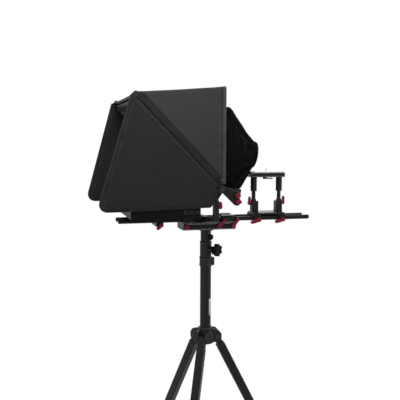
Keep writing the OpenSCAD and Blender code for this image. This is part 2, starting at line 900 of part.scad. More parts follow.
module lift_arms() {
    g = lift_wall + face_gap;
    x0 = yoke_x - upright_d / 2 + g;
    x1 = yoke_x + upright_d / 2 - g;
    low = yoke_top + 6;
    bar_top = -17;
    swing = tilt_range + 6;
    slot_half = stud_r + face_gap;
    color(black)
        both_sides()
            difference() {
                union() {
                    translate([x0, upright_y + g, low])
                        cube([x1 - x0, upright_w - 2 * g, hinge_z + bar_top - low]);
                    translate([0, 0, hinge_z])
                        wall_y(lift_out - ear_t, lift_out)
                            union() {
                                circle(r = ear_r);
                                polygon([[x0, bar_top - 20], [x1, bar_top - 20], [12, -5], [1 - ear_r, -2],
                                    [x0, bar_top]]);
                                polygon(concat([[-4, 2]], arc([0, 0], knob_reach + 12,
                                    knob_angle + swing + 6, knob_angle - swing - 4, 12)));
                            }
                }
                translate([0, 0, hinge_z])
                    wall_y(lift_out - 20, lift_out + 1) {
                        circle(r = hinge_pin_r + seat_gap);
                        polygon(concat(
                            arc([0, 0], knob_reach + slot_half, knob_angle - 4,
                                knob_angle + tilt_range + 4, 10),
                            arc([0, 0], knob_reach - slot_half, knob_angle + tilt_range + 4,
                                knob_angle - 4, 10)));
                    }
            }
}

module mirror_hinge_pins() {
    color(black)
        both_sides()
            translate([0, tail_out + face_gap + 3, hinge_z])
                rotate([90, 0, 0]) {
                    cylinder(r = hinge_pin_r, h = tail_out + face_gap + 3 - lift_out + ear_t + 3);
                    cylinder(r = hinge_pin_r + 4, h = 3);
                }
}

module on_mirror() {
    translate([0, 0, hinge_z])
        rotate([0, mirror_angle - 180, 0])
            children();
}

// Outline of the mirror, drawn in from the frame's edge
module mirror_outline(inset) {
    a = mirror_gap + inset;
    b = mirror_len - inset;
    polygon([[a, inset - frame_hw(a)], [b, inset - frame_hw(b)], [b, frame_hw(b) - inset],
        [a, frame_hw(a) - inset]]);
}

// Room inside the hood's sides and wings
module hood_inside() {
    x0 = wing_front;
    x1 = hood_rear + 30;
    low = wing_y(0) - (panel_t + face_gap) / cos(wing_lean);
    high = low + hood_top * tan(wing_lean);
    intersection() {
        translate([0, 0, rod_z])
            linear_extrude(hood_top)
                polygon([[x0, -inside_y(x0)], [x1, -inside_y(x1)], [x1, inside_y(x1)], [x0, inside_y(x0)]]);
        translate([x0, 0, rod_z])
            rotate([90, 0, 90])
                linear_extrude(x1 - x0)
                    polygon([[-low, 0], [low, 0], [high, hood_top], [-high, hood_top]]);
    }
}

module mirror_frame() {
    dir = unit(tail_tip);
    side = [-dir[1], dir[0]] * tail_w / 2;
    top = -26 * dir;
    color(black)
        difference() {
            union() {
                intersection() {
                    on_mirror()
                        difference() {
                            translate([mirror_gap, -2 * hood_hw, -rail_t / 2])
                                cube([mirror_len - mirror_gap, 4 * hood_hw, rail_t]);
                            translate([0, 0, -rail_t])
                                linear_extrude(2 * rail_t)
                                    mirror_outline(rail_w);
                        }
                    hood_inside();
                }
                both_sides()
                    translate([0, 0, hinge_z])
                        wall_y(tail_in, tail_out)
                            union() {
                                polygon([top + side * 0.4, tail_tip + side, tail_tip - side,
                                    top - side * 0.4]);
                                circle(d = tail_w);
                                translate(tail_tip)
                                    circle(d = tail_w);
                                translate(tail_knob)
                                    circle(r = 12);
                                polygon([[0, 0], tail_tip, tail_knob + [11, -4], tail_knob + [-3, 11.5],
                                    [0, tail_w / 2]]);
                            }
            }
            on_mirror()
                translate([0, 0, rail_t / 2 - glass_t - 0.2])
                    linear_extrude(rail_t)
                        mirror_outline(rail_w - glass_lip);
            both_sides()
                translate([0, 0, hinge_z])
                    wall_y(tail_in - 0.1, tail_out + 1) {
                        circle(r = hinge_pin_r + turn_gap);
                        translate(tail_knob)
                            circle(r = stud_r + turn_gap);
                        translate(tail_tip)
                            circle(r = stud_r + turn_gap);
                    }
        }
}

module mirror_glass() {
    color("#9fb6bb")
        on_mirror()
            translate([0, 0, rail_t / 2 - glass_t - 0.1])
                linear_extrude(glass_t)
                    mirror_outline(rail_w - glass_lip + 0.3);
}

module angle_knob() {
    color(red)
        translate([tail_knob[0], -tail_out - face_gap, hinge_z + tail_knob[1]])
            facing_left()
                fluted_knob(knob_d - 2, 14, 10, tail_t + 2 * face_gap + ear_t + 2);
}

module angle_lever() {
    color(red)
        translate([tail_tip[0], -tail_out - face_gap, hinge_z + tail_tip[1]])
            facing_left()
                clamp_lever(lever_arm * 0.4, 10, tail_t - 1);
}

// One side panel of the hood, drawn along the panel and up, above the rod axes
module side_panel(pts, radii) {
    translate([hood_rear, hood_hw, rod_z])
        rotate([0, 0, 180 - hood_flare])
            wall_y(0, panel_t)
                polygon(rounded([for (p = pts) [along(p[0]), p[1]]], radii));
}

// Wing in a plane through the mirror's edge, its lower edge along the monitor's side
module hood_wing() {
    step = tan(mirror_angle);
    peak = hood_front - 10;
    pts = [
        [-9, hinge_rise + 9 * step - 2 * seam],
        [peak, hinge_rise - peak * step - 2 * seam],
        [wing_front, wing_low],
        [mon_front, wing_low + 1.5],
        [-36, wing_low + wing_rise]];
    color(cloth)
        translate([0, side_y(0), rod_z + hinge_rise])
            rotate([-wing_lean, 0, 0])
                wall_y(-panel_t, 0)
                    polygon(rounded([for (p = pts) [p[0], (p[1] - hinge_rise) / cos(wing_lean)]],
                        [6, 6, 27, 0, 8]));
}

module hood_sides() {
    step = tan(mirror_angle);
    foot = hinge_rise - hood_low;
    tip = hood_front + 8;
    color(cloth)
        both_sides()
            side_panel([
                [hood_rear, hood_low],
                [hood_rear, roof_z(hood_rear) - panel_t - 0.4],
                [tip, roof_z(tip) - panel_t - 0.4],
                [tip, hinge_rise - tip * step + 2 * seam],
                [foot / step + 2 * seam, hood_low]], [0, 0, 0, 0, 0]);
}

module hood_roof() {
    len = (hood_rear - hood_front) / cos(hood_slope);
    color(cloth)
        translate([hood_rear, 0, hood_top_z])
            rotate([0, -hood_slope, 0])
                translate([0, 0, -panel_t])
                    linear_extrude(panel_t)
                        polygon(rounded([[0, -hood_hw], [0, hood_hw], [-len, side_y(hood_front)],
                            [-len, -side_y(hood_front)]], [4, 4, 10, 10]));
}

module hood_rear_band() {
    wall = 5;
    w = inside_y(hood_rear);
    top = roof_z(hood_rear - band_w) - panel_t - 2 * face_gap;
    low = hinge_rise + (band_w - hood_rear) * tan(mirror_angle) + rail_t / 2 / cos(mirror_angle) + 2;
    color(dark)
        translate([hood_rear - band_w, 0, rod_z])
            rotate([90, 0, 90]) {
                linear_extrude(band_w)
                    difference() {
                        polygon(plate_outline(-w, low, w, top, 6));
                        polygon(plate_outline(wall - w, low + wall, w - wall, top - wall, 4));
                    }
                translate([wall / 2 - w, top - header_h, band_w - wall / 2])
                    cube([2 * w - wall, header_h - wall / 2, wall / 2]);
            }
}

module lens_shroud() {
    n = 40;
    m = 12;
    skin = 3;
    outer = [for (k = [0:m]) each shroud_ring(k / m, 0, n)];
    inner = [for (k = [0:m]) each shroud_ring(k / m, skin, n)];
    off = len(outer);
    walls = [for (k = [0:m - 1], i = [0:n - 1]) let (
            a = k * n + i,
            b = k * n + (i + 1) % n
        ) [a, b, b + n, a + n]];
    ends = [for (i = [0:n - 1]) let (j = (i + 1) % n, e = m * n)
        each [[i, off + i, off + j, j], [e + i, e + j, off + e + j, off + e + i]]];
    color(cloth)
        polyhedron(
            points = concat(outer, inner),
            faces = concat(
                [for (f = walls) each [[f[0], f[1], f[2]], [f[0], f[2], f[3]]]],
                [for (f = walls) each [[off + f[0], off + f[2], off + f[1]],
                    [off + f[0], off + f[3], off + f[2]]]],
                [for (f = ends) each [[f[0], f[1], f[2]], [f[0], f[2], f[3]]]]));
}

module riser_base() {
    half = plate_w / 2 + 6;
    feet = [riser_front, riser_rear - foot_len];
    color(black)
        difference() {
            union() {
                translate([0, 0, rod_z + block_rise])
                    linear_extrude(riser_plate_t)
                        polygon(plate_outline(riser_front - riser_overhang, -half,
                            riser_rear + riser_overhang, half, 6));
                for (x = feet) {
                    translate([x, -block_half, rod_z - 12])
                        cube([foot_len, 2 * block_half, 12 + block_rise]);
                    translate([x, -sleeve_t / 2, rod_z + block_rise])
                        cube([foot_len, sleeve_t, sleeve_rise - block_rise]);
                }
                for (x = post_x)
                    translate([x, 0, rod_z + sleeve_rise - 1])
                        cylinder(d = post_d + 5, h = post_neck + 1);
            }
            rod_bores(riser_front - 1, riser_rear + 1, turn_gap);
            for (x = feet)
                rod_slits(x - 1, x + foot_len + 1, block_half);
            for (x = post_x)
                translate([x, 0, rod_z - 20])
                    cylinder(r = post_d / 2 + turn_gap, h = 100);
            translate([riser_front, 0, rod_z + 50])
                rotate([0, -90, 0])
                    stud_hole(6);
            translate([riser_rear, 0, rod_z + 50])
                rotate([0, 90, 0])
                    stud_hole(6);
            for (x = feet)
                translate([x + foot_len / 2, -block_half, rod_z - 5])
                    facing_left()
                        stud_hole(3);
        }
}

module riser_posts() {
    post_step = sleeve_rise + post_neck + table_travel + 2.5;
    color(black)
        for (x = post_x)
            translate([x, 0, 0]) {
                translate([0, 0, rod_z + 15])
                    cylinder(d = post_d, h = plate_rise - 15);
                translate([0, 0, rod_z + post_step])
                    cylinder(d = post_top_d, h = plate_rise - post_step);
            }
}

module riser_lever_front() {
    color(red)
        translate([riser_front - face_gap, 0, rod_z + 50])
            rotate([0, -90, 0])
                clamp_lever(lever_arm * 0.75, 0, 9 - post_d / 2 - face_gap);
}

module riser_lever_rear() {
    color(red)
        translate([riser_rear + face_gap, 0, rod_z + 50])
            rotate([0, 90, 0])
                clamp_lever(lever_arm * 0.75, 200, 9 - post_d / 2 - face_gap);
}

module riser_clamp_lever(x) {
    color(red)
        translate([x + foot_len / 2, -block_half - face_gap, rod_z - 5])
            facing_left()
                clamp_lever(lever_arm, 205, 2.5);
}

module camera_plate() {
    w = plate_w / 2;
    color(black)
        difference() {
            translate([plate_front, 0, plate_z])
                rotate([90, 0, 90])
                    linear_extrude(plate_rear - plate_front)
                        polygon([[3 - w, 0], [w - 3, 0], [w, 3], [w, plate_t - 1], [w - 1, plate_t],
                            [w - 12, plate_t], [w - 8, plate_t - 8], [8 - w, plate_t - 8],
                            [12 - w, plate_t], [1 - w, plate_t], [-w, plate_t - 1], [-w, 3]]);
            translate([release_x, release_y, plate_z])
                rotate([180, 0, 0])
                    stud_hole(5);
        }
}

module quick_plate() {
    w = plate_w / 2;
    g = face_gap;
    color(silver)
        difference() {
            translate([quick_front, 0, quick_z + g])
                rotate([90, 0, 90])
                    linear_extrude(quick_rear - quick_front)
                        polygon([[1 - w, 0], [12 - w + 2 * g, 0], [8 - w + 2 * g, -8 + g],
                            [w - 8 - 2 * g, -8 + g],
                            [w - 12 - 2 * g, 0], [w - 1, 0], [w - 1, quick_t - 1], [w - 2, quick_t],
                            [2 - w, quick_t], [1 - w, quick_t - 1]]);
            translate([screw_x, 0, quick_z - 9])
                cylinder(d = camera_screw_d + 2 * turn_gap, h = 30);
            translate([screw_x, 0, quick_z - 9])
                cylinder(d = 16 + 2 * turn_gap, h = 6);
        }
}

module camera_screw() {
    thread_h = 6.8;
    neck = 0.5;
    low = quick_z - 8 + 2 * face_gap;
    seat = quick_z + face_gap + quick_t;
    color(silver)
        translate([screw_x, 0, 0]) {
            translate([0, 0, low])
                cylinder(d = 16, h = 4);
            translate([0, 0, low])
                cylinder(d = camera_screw_d - 1, h = seat + neck - low + 1);
            translate([0, 0, seat + neck])
                cylinder(d = camera_screw_d, h = thread_h);
        }
}

module release_lever() {
    color(dark)
        translate([release_x, release_y, plate_z - face_gap])
            rotate([180, 0, 0]) {
                cylinder(d = 13, h = 6);
                translate([0, 0, 2])
                    linear_extrude(4)
                        polygon(rounded([[0, -5], [16, -4], [28, 2], [27, 7], [14, 3], [0, 5]],
                            [0, 20, 2, 2, 20, 0]));
                translate([0, 0, -4])
                    cylinder(r = stud_r, h = 6);
            }
}

module mirrored() {
    mirror([0, 1, 0])
        children();
}

spider();
leg_hinge_pins();
column_tube();
column_clamp();
star_knob();
inner_column();
top_socket();
socket_knob();
leg_upper(0);  // leg_upper_rear
leg_upper(1);  // leg_upper_left
leg_upper(2);  // leg_upper_right
leg_lower(0);  // leg_lower_rear
leg_lower(1);  // leg_lower_left
leg_lower(2);  // leg_lower_right
leg_foot(0);  // leg_foot_rear
leg_foot(1);  // leg_foot_left
leg_foot(2);  // leg_foot_right
leg_lock(0);  // leg_lock_rear
leg_lock(1);  // leg_lock_left
leg_lock(2);  // leg_lock_right
base_plate();
rod_clamps();
rods();
base_knob_front();
base_lever(middle_lever_x, middle_lever_turn);  // base_lever_middle
base_lever(rear_lever_x, rear_lever_turn);  // base_lever_rear
monitor_cradle();
monitor_lever();
monitor_case();
monitor_bezel();
monitor_screen();
monitor_ports();
yoke();
upright_knob(-1);  // upright_knob_left
upright_knob(1);  // upright_knob_right
lift_arms();
mirror_hinge_pins();
mirror_frame();
mirror_glass();
angle_knob();  // angle_knob_left
mirrored() angle_knob();  // angle_knob_right
angle_lever();  // angle_lever_left
mirrored() angle_lever();  // angle_lever_right
mirrored() hood_wing();  // hood_wing_left
hood_wing();  // hood_wing_right
hood_sides();
hood_roof();
hood_rear_band();
lens_shroud();
riser_base();
riser_posts();
riser_lever_front();
riser_lever_rear();
riser_clamp_lever(riser_front);  // riser_clamp_lever_front
riser_clamp_lever(riser_rear - foot_len);  // riser_clamp_lever_rear
camera_plate();
quick_plate();
camera_screw();
release_lever();
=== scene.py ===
"""Looks of the teleprompter on its floor stand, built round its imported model. Metres."""
import json
import math
import bmesh
import bpy
from mathutils import Matrix, Vector, noise
from mathutils.bvhtree import BVHTree


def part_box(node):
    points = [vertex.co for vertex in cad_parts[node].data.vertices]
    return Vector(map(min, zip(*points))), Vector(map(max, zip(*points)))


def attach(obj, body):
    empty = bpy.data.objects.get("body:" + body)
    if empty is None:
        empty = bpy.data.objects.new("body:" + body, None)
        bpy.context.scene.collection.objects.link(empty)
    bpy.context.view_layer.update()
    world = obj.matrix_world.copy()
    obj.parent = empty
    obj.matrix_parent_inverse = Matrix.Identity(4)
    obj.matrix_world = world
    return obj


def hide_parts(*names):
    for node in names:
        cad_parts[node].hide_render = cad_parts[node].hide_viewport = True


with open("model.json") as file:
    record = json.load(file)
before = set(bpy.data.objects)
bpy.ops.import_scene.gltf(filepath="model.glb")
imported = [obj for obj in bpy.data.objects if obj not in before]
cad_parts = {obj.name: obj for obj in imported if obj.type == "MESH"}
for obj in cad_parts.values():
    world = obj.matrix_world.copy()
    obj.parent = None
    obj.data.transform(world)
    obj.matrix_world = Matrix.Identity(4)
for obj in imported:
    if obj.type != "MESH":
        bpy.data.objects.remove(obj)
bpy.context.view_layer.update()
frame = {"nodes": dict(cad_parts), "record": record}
scene = bpy.context.scene

# Places taken from the frame
rod_low, rod_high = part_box("rods")
ROD_Z = (rod_low.z + rod_high.z) / 2
BODY_OF = {node: body for body, nodes in frame["record"]["behaviour"]["bodies"].items() for node in nodes}
SLOT_OF = {part["node"]: part["material_slot"] for part in frame["record"]["subparts"]}

# Hood: half width and flare of its sides, heights above the rod axes
HOOD_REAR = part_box("hood_roof")[1].x
HOOD_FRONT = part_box("hood_roof")[0].x
HOOD_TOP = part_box("hood_roof")[1].z - ROD_Z
HOOD_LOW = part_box("hood_sides")[0].z - ROD_Z
HOOD_HALF = 0.202
HOOD_FLARE = math.radians(7)
HOOD_FALL = 0.025
HOOD_FOLD_R = 0.007
ROOF_SAG = 0.006
HEADER = 0.074
HINGE_RISE = 0.115
SEAM_HALF = 0.0016

# Wings: corners along the rods and above them, and their radii
WING_LOW = 0.048
WING_FRONT = HOOD_FRONT - 0.111
WING_PEAK = HOOD_FRONT - 0.010
WING_STEP = HINGE_RISE - SEAM_HALF
WING_CORNERS = [(-0.009, WING_STEP + 0.009), (WING_PEAK, WING_STEP - WING_PEAK), (WING_FRONT, WING_LOW),
    (-0.288, WING_LOW + 0.0015), (-0.036, WING_LOW + 0.009)]
WING_RADII = (0.006, 0.006, 0.027, 0, 0.008)
WING_BOW = 0.0014

# Cloth and sewing
CLOTH_T = 0.0016
CLOTH_CELL = 0.007
COVER_BOW = -0.0004
CREASE = 0.0006
HEM_W = 0.014
HEM_PROUD = 0.0006
STRIP_STEP = 0.0003
REAR_TAPE_W = 0.026
STITCH_PITCH = 0.0052
STITCH_SIZE = (0.0017, 0.0004, 0.00035, 1)
STITCH_TRIM = 0.008
WING_STITCH_IN = 0.0088
DIAGONAL_STITCH_IN = 0.0145
REAR_STITCHES_IN = (0.0085, REAR_TAPE_W - 0.003)

# Rolled hem of the front edge: half sizes, and the lumps at its ends
BINDING_HALF_W = 0.0022
BINDING_HALF_H = 0.0046
BINDING_UNDER = 0.0036
LUMP_FROM = 0.045
LUMP_TO = 0.006
LUMP_RISE = 0.0022
LUMP_GROWTH = 0.0045

# Lens shroud, as the solid: lens end, its height and the slack of the cloth
LENS_R = 0.042
LENS_RISE = 0.218
LENS_TILT = 0.006
MOUTH_GAP = 0.0006
MOUTH_IN = 0.0075
MOUTH_TOP_IN = 0.0115
MOUTH_LOW_IN = 0.0135
MOUTH_LAP = 0.0095
SHROUD_REAR = 0.168
SHROUD_SAG = 0.075
SHROUD_AROUND = 112
SHROUD_RINGS = 44
SHROUD_FRAMES = 24
SHROUD_GROWTH = 0.03
SHROUD_REACH = 0.006
SHROUD_T = 0.0012
GATHERS = 23
GATHER_DEPTH = 0.0045
CUFF_DEEP = 0.0034
CUFF_LONG = 0.0046
CUFF_RUFFLE = 0.16

# Screw heads: radius, height and half the width of the socket
SIDE_SCREW = (0.0046, 0.0024, 0.0018)
SIDE_SCREW_AT = (-0.006, 0.1415, 0.0012)
HINGE_SCREW = (0.0066, 0.0020, 0.0026)
HINGE_SCREW_IN = 0.0002

# Blank label on the column: heights above the rods, middle and half spread round the tube
LABEL_LOW = -0.338
LABEL_HIGH = -0.278
LABEL_TURN = math.radians(-20)
LABEL_SPREAD = math.radians(45)
LABEL_CORNER_R = 0.004
LABEL_CELL = 0.0015
LABEL_T = 0.0002

# Camera of the photograph: turns, place and focal length in pixels of its width
CAMERA_TURNS = (14.83, 5.16, 0.24)
CAMERA_PLACE = (-0.5699, -2.0727, ROD_Z + 0.2571)
CAMERA_FOCAL = 628.06
CAMERA_WIDTH = 400
SENSOR_MM = 36


def aim_camera():
    """Camera that sees the object as the photograph does."""
    yaw, pitch, roll = (math.radians(a) for a in CAMERA_TURNS)
    ahead = Vector((math.sin(yaw) * math.cos(pitch), math.cos(yaw) * math.cos(pitch), -math.sin(pitch)))
    level = Vector((math.cos(yaw), -math.sin(yaw), 0))
    upright = level.cross(ahead)
    across = math.cos(roll) * level + math.sin(roll) * upright
    up = math.cos(roll) * upright - math.sin(roll) * level
    turned = Matrix((across, up, -ahead)).transposed().to_4x4()
    camera = bpy.data.objects.new("photo_camera", bpy.data.cameras.new("photo_camera"))
    camera.matrix_world = Matrix.Translation(CAMERA_PLACE) @ turned
    camera.data.sensor_width = SENSOR_MM
    camera.data.lens = SENSOR_MM * CAMERA_FOCAL / CAMERA_WIDTH
    scene.collection.objects.link(camera)
    scene.camera = camera


aim_camera()


# Shader sockets with arithmetic
class Shade:
    """One output socket in a node tree; operators add Math nodes to the tree."""

    def __init__(self, nodes, socket):
        self.nodes = nodes
        self.socket = socket

    def _math(self, operation, a, b):
        return self.nodes.node("ShaderNodeMath", {"operation": operation}, {0: a, 1: b})

    def __add__(self, other):
        return self._math("ADD", self, other)

    def __radd__(self, other):
        return self._math("ADD", other, self)

    def __mul__(self, other):
        return self._math("MULTIPLY", self, other)

    def __rmul__(self, other):
        return self._math("MULTIPLY", other, self)

    def sine(self):
        return self._math("SINE", self, 0.0)

    def most(self, other):
        return self._math("MAXIMUM", self, other)


class Nodes:
    """A node tree under construction."""

    def __init__(self, tree):
        self.tree = tree

    def node(self, kind, settings, inputs, output=0):
        """Adds a node; settings are set before its sockets are filled or linked."""
        made = self.tree.nodes.new(kind)
        for key, value in settings.items():
            setattr(made, key, value)
        for key, value in inputs.items():
            self.fill(made.inputs[key], value)
        return Shade(self, made.outputs[output])

    def fill(self, socket, value):
        if isinstance(value, Shade):
            self.tree.links.new(value.socket, socket)
        else:
            socket.default_value = value

    def seen(self):
        """1 for what the camera sees, straight or in a reflection or through glass, else 0."""
        ways = [self.node("ShaderNodeLightPath", {}, {}, "Is %s Ray" % kind)
            for kind in ("Camera", "Glossy", "Transmission")]
        return ways[0].most(ways[1]).most(ways[2])


class Finish(Nodes):
    """A procedural material under construction."""

    def __init__(self, name):
        self.material = bpy.data.materials.new(name)
        self.material.use_nodes = True
        super().__init__(self.material.node_tree)
        self.surface = self.tree.nodes["Principled BSDF"]
        self.place = self.node("ShaderNodeTexCoord", {}, {}, "Object")

    def noise(self, scale, detail=2.0, place=None):
        return self.node("ShaderNodeTexNoise", {}, {
            "Vector": place or self.place, "Scale": scale, "Detail": detail})

    def ramped(self, value, low, high):
        return self.node("ShaderNodeMapRange", {"clamp": True}, {
            "Value": value, "From Min": low, "From Max": high})

    def stretched(self, scale):
        return self.node("ShaderNodeMapping", {}, {"Vector": self.place, "Scale": scale})

    def mixed(self, share, first, second):
        return self.node("ShaderNodeMix", {"data_type": "RGBA"}, {0: share, 6: first, 7: second}, 2)

    def axes(self):
        return [self.node("ShaderNodeSeparateXYZ", {}, {0: self.place}, k) for k in range(3)]

    def worn(self, least=0.0):
        """Share of wear: rounded edges that carry the mark, broken up by noise down to a least share; a least
        share above 0 keeps the edges light all along, partly a painted highlight.
        """
        mark = self.node("ShaderNodeAttribute", {"attribute_name": "worn"}, {}, "Fac")
        return mark * self.ramped(self.noise(140, 3), 0.42, 0.62).most(least)

    def bump(self, height, strength, distance):
        return self.node("ShaderNodeBump", {}, {
            "Height": height, "Strength": strength, "Distance": distance})

    def set(self, **sockets):
        """Fills the surface's sockets: Base_Color=..., Roughness=..."""
        for key, value in sockets.items():
            self.fill(self.surface.inputs[key.replace("_", " ")], value)
        return self.material


def tint(level, warm=0.0):
    """Grey of that level, a little warm or cool."""
    return (level * (1 + warm), level, level * (1 - warm), 1)


# Finishes; shine is the specular level
def satin_anodised(name, colour, bare, rough, metal, shine, edge_bare_and_highlight=0.0):
    """Anodised metal; the last argument is the share of its rounded edges that is bare and light all along,
    partly cut bare metal and partly a painted highlight line.
    """
    f = Finish(name)
    grain = f.noise(9000, 1)
    smear = f.noise(18, 4)
    shade = f.mixed(f.ramped(smear, 0.35, 0.75) * 0.35, colour, [c * 1.35 for c in colour[:3]] + [1])
    # A least share keeps every rounded edge bare and light: partly cut bare metal, partly a painted highlight
    # line
    worn = f.worn(edge_bare_and_highlight)
    return f.set(
        Base_Color=f.mixed(worn * 0.7, shade, bare),
        Roughness=rough + 0.10 * smear + 0.05 * grain,
        Metallic=metal + worn * (0.7 * (1 - metal)),
        Specular_IOR_Level=shine,
        Normal=f.bump(grain, 0.08, 0.0002))


def drawn_tube(name, colour, bare, rough, metal, stretch, shine):
    """Tube with faint lines along its length, stretch is small along that axis."""
    f = Finish(name)
    lines = f.noise(900, 2, f.stretched(stretch))
    smear = f.noise(11, 4)
    worn = f.worn()
    shade = f.mixed(f.ramped(smear, 0.4, 0.8) * 0.3, colour, [c * 1.5 for c in colour[:3]] + [1])
    return f.set(
        Base_Color=f.mixed(worn * 0.75, shade, bare),
        Roughness=rough + 0.12 * lines + 0.06 * smear,
        Metallic=metal,
        Specular_IOR_Level=shine,
        Normal=f.bump(lines, 0.06, 0.0003))


def powder_coat(name, level, shine):
    f = Finish(name)
    peel = f.noise(1500, 2)
    cloud = f.noise(25, 4)
    worn = f.worn()
    shade = f.mixed(cloud, tint(level * 0.8), tint(level * 1.35))
    return f.set(
        Base_Color=f.mixed(worn * 0.5, shade, tint(0.16)),
        Roughness=0.40 + 0.16 * cloud,
        Specular_IOR_Level=shine,
        Normal=f.bump(peel, 0.25, 0.0004))


def moulded_plastic(name, level, rough, grain_scale, shine):
    f = Finish(name)
    grain = f.node("ShaderNodeTexVoronoi", {}, {"Vector": f.place, "Scale": grain_scale})
    cloud = f.noise(30, 3)
    return f.set(
        Base_Color=f.mixed(cloud, tint(level * 0.85, -0.06), tint(level * 1.2, -0.06)),
        Roughness=rough + 0.10 * cloud,
        Specular_IOR_Level=shine,
        Normal=f.bump(grain, 0.18, 0.0003))


def rubber_compound(name, level):
    f = Finish(name)
    grain = f.noise(2200, 3)
    dust = f.ramped(f.noise(16, 5), 0.5, 0.8)
    return f.set(
        Base_Color=f.mixed(dust * 0.5, tint(level), tint(level * 2.6, 0.03)),
        Roughness=0.82 + 0.12 * grain,
        Specular_IOR_Level=0.2,
        Normal=f.bump(grain, 0.3, 0.0004))


def woven_cloth(name, level, pitch, rough, shine):
    """Plain weave of coated yarn, the same on the sides and the top."""
    f = Finish(name)
    x, y, z = f.axes()
    turn = 2 * math.pi / pitch
    warp = (x * turn).sine()
    weft = ((y + z) * turn).sine()
    weave = warp * weft
    slub = f.noise(260, 2, f.stretched((0.15, 1.0, 1.0)))
    rub = f.noise(6.5, 4)
    crease = f.noise(38, 3)
    shade = f.mixed(f.ramped(rub, 0.3, 0.75), tint(level * 0.86, -0.05), tint(level * 1.18, -0.03))
    yarn = f.mixed(0.25 * (0.5 + 0.5 * weave) + 0.2 * slub, shade, tint(level * 1.9, -0.04))
    return f.set(
        Base_Color=yarn,
        Roughness=rough + 0.12 * crease,
        Specular_IOR_Level=shine,
        Normal=f.bump(weave + 0.6 * slub + 1.5 * crease, 0.35, 0.0004),
        Sheen_Weight=0.03,
        Sheen_Roughness=0.45)


def napped_cloth(name, level):
    """Light-tight cloth with a short pile that lies in patches."""
    f = Finish(name)
    pile = f.noise(2600, 2)
    lay = f.noise(24, 4)
    lint = f.ramped(f.noise(420, 2), 0.68, 0.8)
    shade = f.mixed(f.ramped(lay, 0.35, 0.7), tint(level * 0.7, -0.12), tint(level * 1.7, -0.12))
    return f.set(
        Base_Color=f.mixed(lint * 0.1, shade, tint(0.02)),
        Roughness=0.93 + 0.05 * pile,
        Specular_IOR_Level=0.01,
        Normal=f.bump(pile + 0.5 * lay, 0.5, 0.0006),
        Sheen_Weight=0.02,
        Sheen_Roughness=0.5)


def ribbed_tape(name, level, shine):
    """Binding tape with fine cross ribs."""
    f = Finish(name)
    x, y, z = f.axes()
    turn = 2 * math.pi / 0.0011
    ribs = ((x + z) * turn).sine() + 0.6 * ((y + x * 0.4) * turn).sine()
    wear = f.noise(45, 4)
    return f.set(
        Base_Color=f.mixed(f.ramped(wear, 0.3, 0.75), tint(level * 0.8), tint(level * 1.4)),
        Roughness=0.58 + 0.15 * wear,
        Specular_IOR_Level=shine,
        Normal=f.bump(ribs, 0.3, 0.0003),
        Sheen_Weight=0.03,
        Sheen_Roughness=0.4)


def sewing_thread(name, level):
    f = Finish(name)
    twist = f.noise(3000, 1)
    return f.set(
        Base_Color=f.mixed(twist, tint(level * 0.7), tint(level * 1.4)),
        Roughness=0.55 + 0.2 * twist,
        Specular_IOR_Level=0.15,
        Normal=f.bump(twist, 0.4, 0.0002))


def half_silvered_glass(name):
    f = Finish(name)
    smudge = f.noise(9, 4)
    return f.set(
        Base_Color=f.mixed(smudge, (0.72, 0.79, 0.80, 1), (0.80, 0.85, 0.85, 1)),
        Roughness=0.004 + 0.02 * f.ramped(smudge, 0.55, 0.8),
        Transmission_Weight=0.92,
        IOR=1.7)


def glossy_panel(name):
    f = Finish(name)
    smudge = f.ramped(f.noise(13, 5), 0.45, 0.8)
    return f.set(
        Base_Color=f.mixed(smudge, (0.006, 0.007, 0.009, 1), (0.010, 0.011, 0.013, 1)),
        Roughness=0.07 + 0.12 * smudge,
        Coat_Weight=0.4)


def blank_label(name):
    f = Finish(name)
    fibre = f.noise(700, 3)
    scuff = f.ramped(f.noise(60, 4), 0.5, 0.75)
    return f.set(
        Base_Color=f.mixed(scuff * 0.5, (0.62, 0.61, 0.56, 1), (0.40, 0.39, 0.36, 1)),
        Roughness=0.45 + 0.2 * fibre)


BARE = (0.26, 0.26, 0.27, 1)
CRIMSON, BARE_CRIMSON = (0.16, 0.004, 0.018, 1), (0.36, 0.08, 0.10, 1)
ANODISED = tint(0.005, -0.04)
ALONG_X, ALONG_Z = (0.01, 1, 1), (1, 1, 0.01)
FINISHES = {
    "cast_black": powder_coat("black_powder_coat", 0.007, 0.2),
    "black_tube": drawn_tube("black_drawn_tube", ANODISED, BARE, 0.30, 0.0, ALONG_Z, 0.16),
    "bright_tube": drawn_tube("satin_aluminium", tint(0.60, -0.01), tint(0.75), 0.26, 1.0, ALONG_Z, 0.5),
    "bright_steel": satin_anodised("plated_steel", tint(0.50), tint(0.62), 0.22, 1.0, 0.5),
    "black_knob": moulded_plastic("black_knob_plastic", 0.003, 0.46, 2600, 0.05),
    "rubber": rubber_compound("foot_rubber", 0.010),
    "black_anodised": satin_anodised("black_satin_anodising", ANODISED, BARE, 0.34, 0.0, 0.14),
    "red_anodised": satin_anodised("crimson_anodising", CRIMSON, BARE_CRIMSON, 0.34, 0.3, 0.25),
    "lock_plastic": moulded_plastic("lock_plastic", 0.012, 0.40, 2200, 0.25),
    "monitor_shell": moulded_plastic("monitor_shell_plastic", 0.0022, 0.42, 1900, 0.06),
    "monitor_screen": glossy_panel("screen_panel"),
    "mirror_glass": half_silvered_glass("beam_splitter_glass"),
    "hood_cloth": woven_cloth("hood_oxford_cloth", 0.0245, 0.0011, 0.64, 0.08),
    "shroud_cloth": napped_cloth("shroud_velvet", 0.0014),
}
# The wings get a darker copy of the hood's cloth: painted shade, as the wings lean out and face a little down
wing_cloth_painted_shade = woven_cloth("wing_oxford_cloth_painted_shade", 0.0168, 0.0011, 0.66, 0.05)
rod_metal = drawn_tube("black_rod_anodising", ANODISED, BARE, 0.30, 0.0, ALONG_X, 0.12)
hem_tape = ribbed_tape("hem_tape", 0.0215, 0.08)
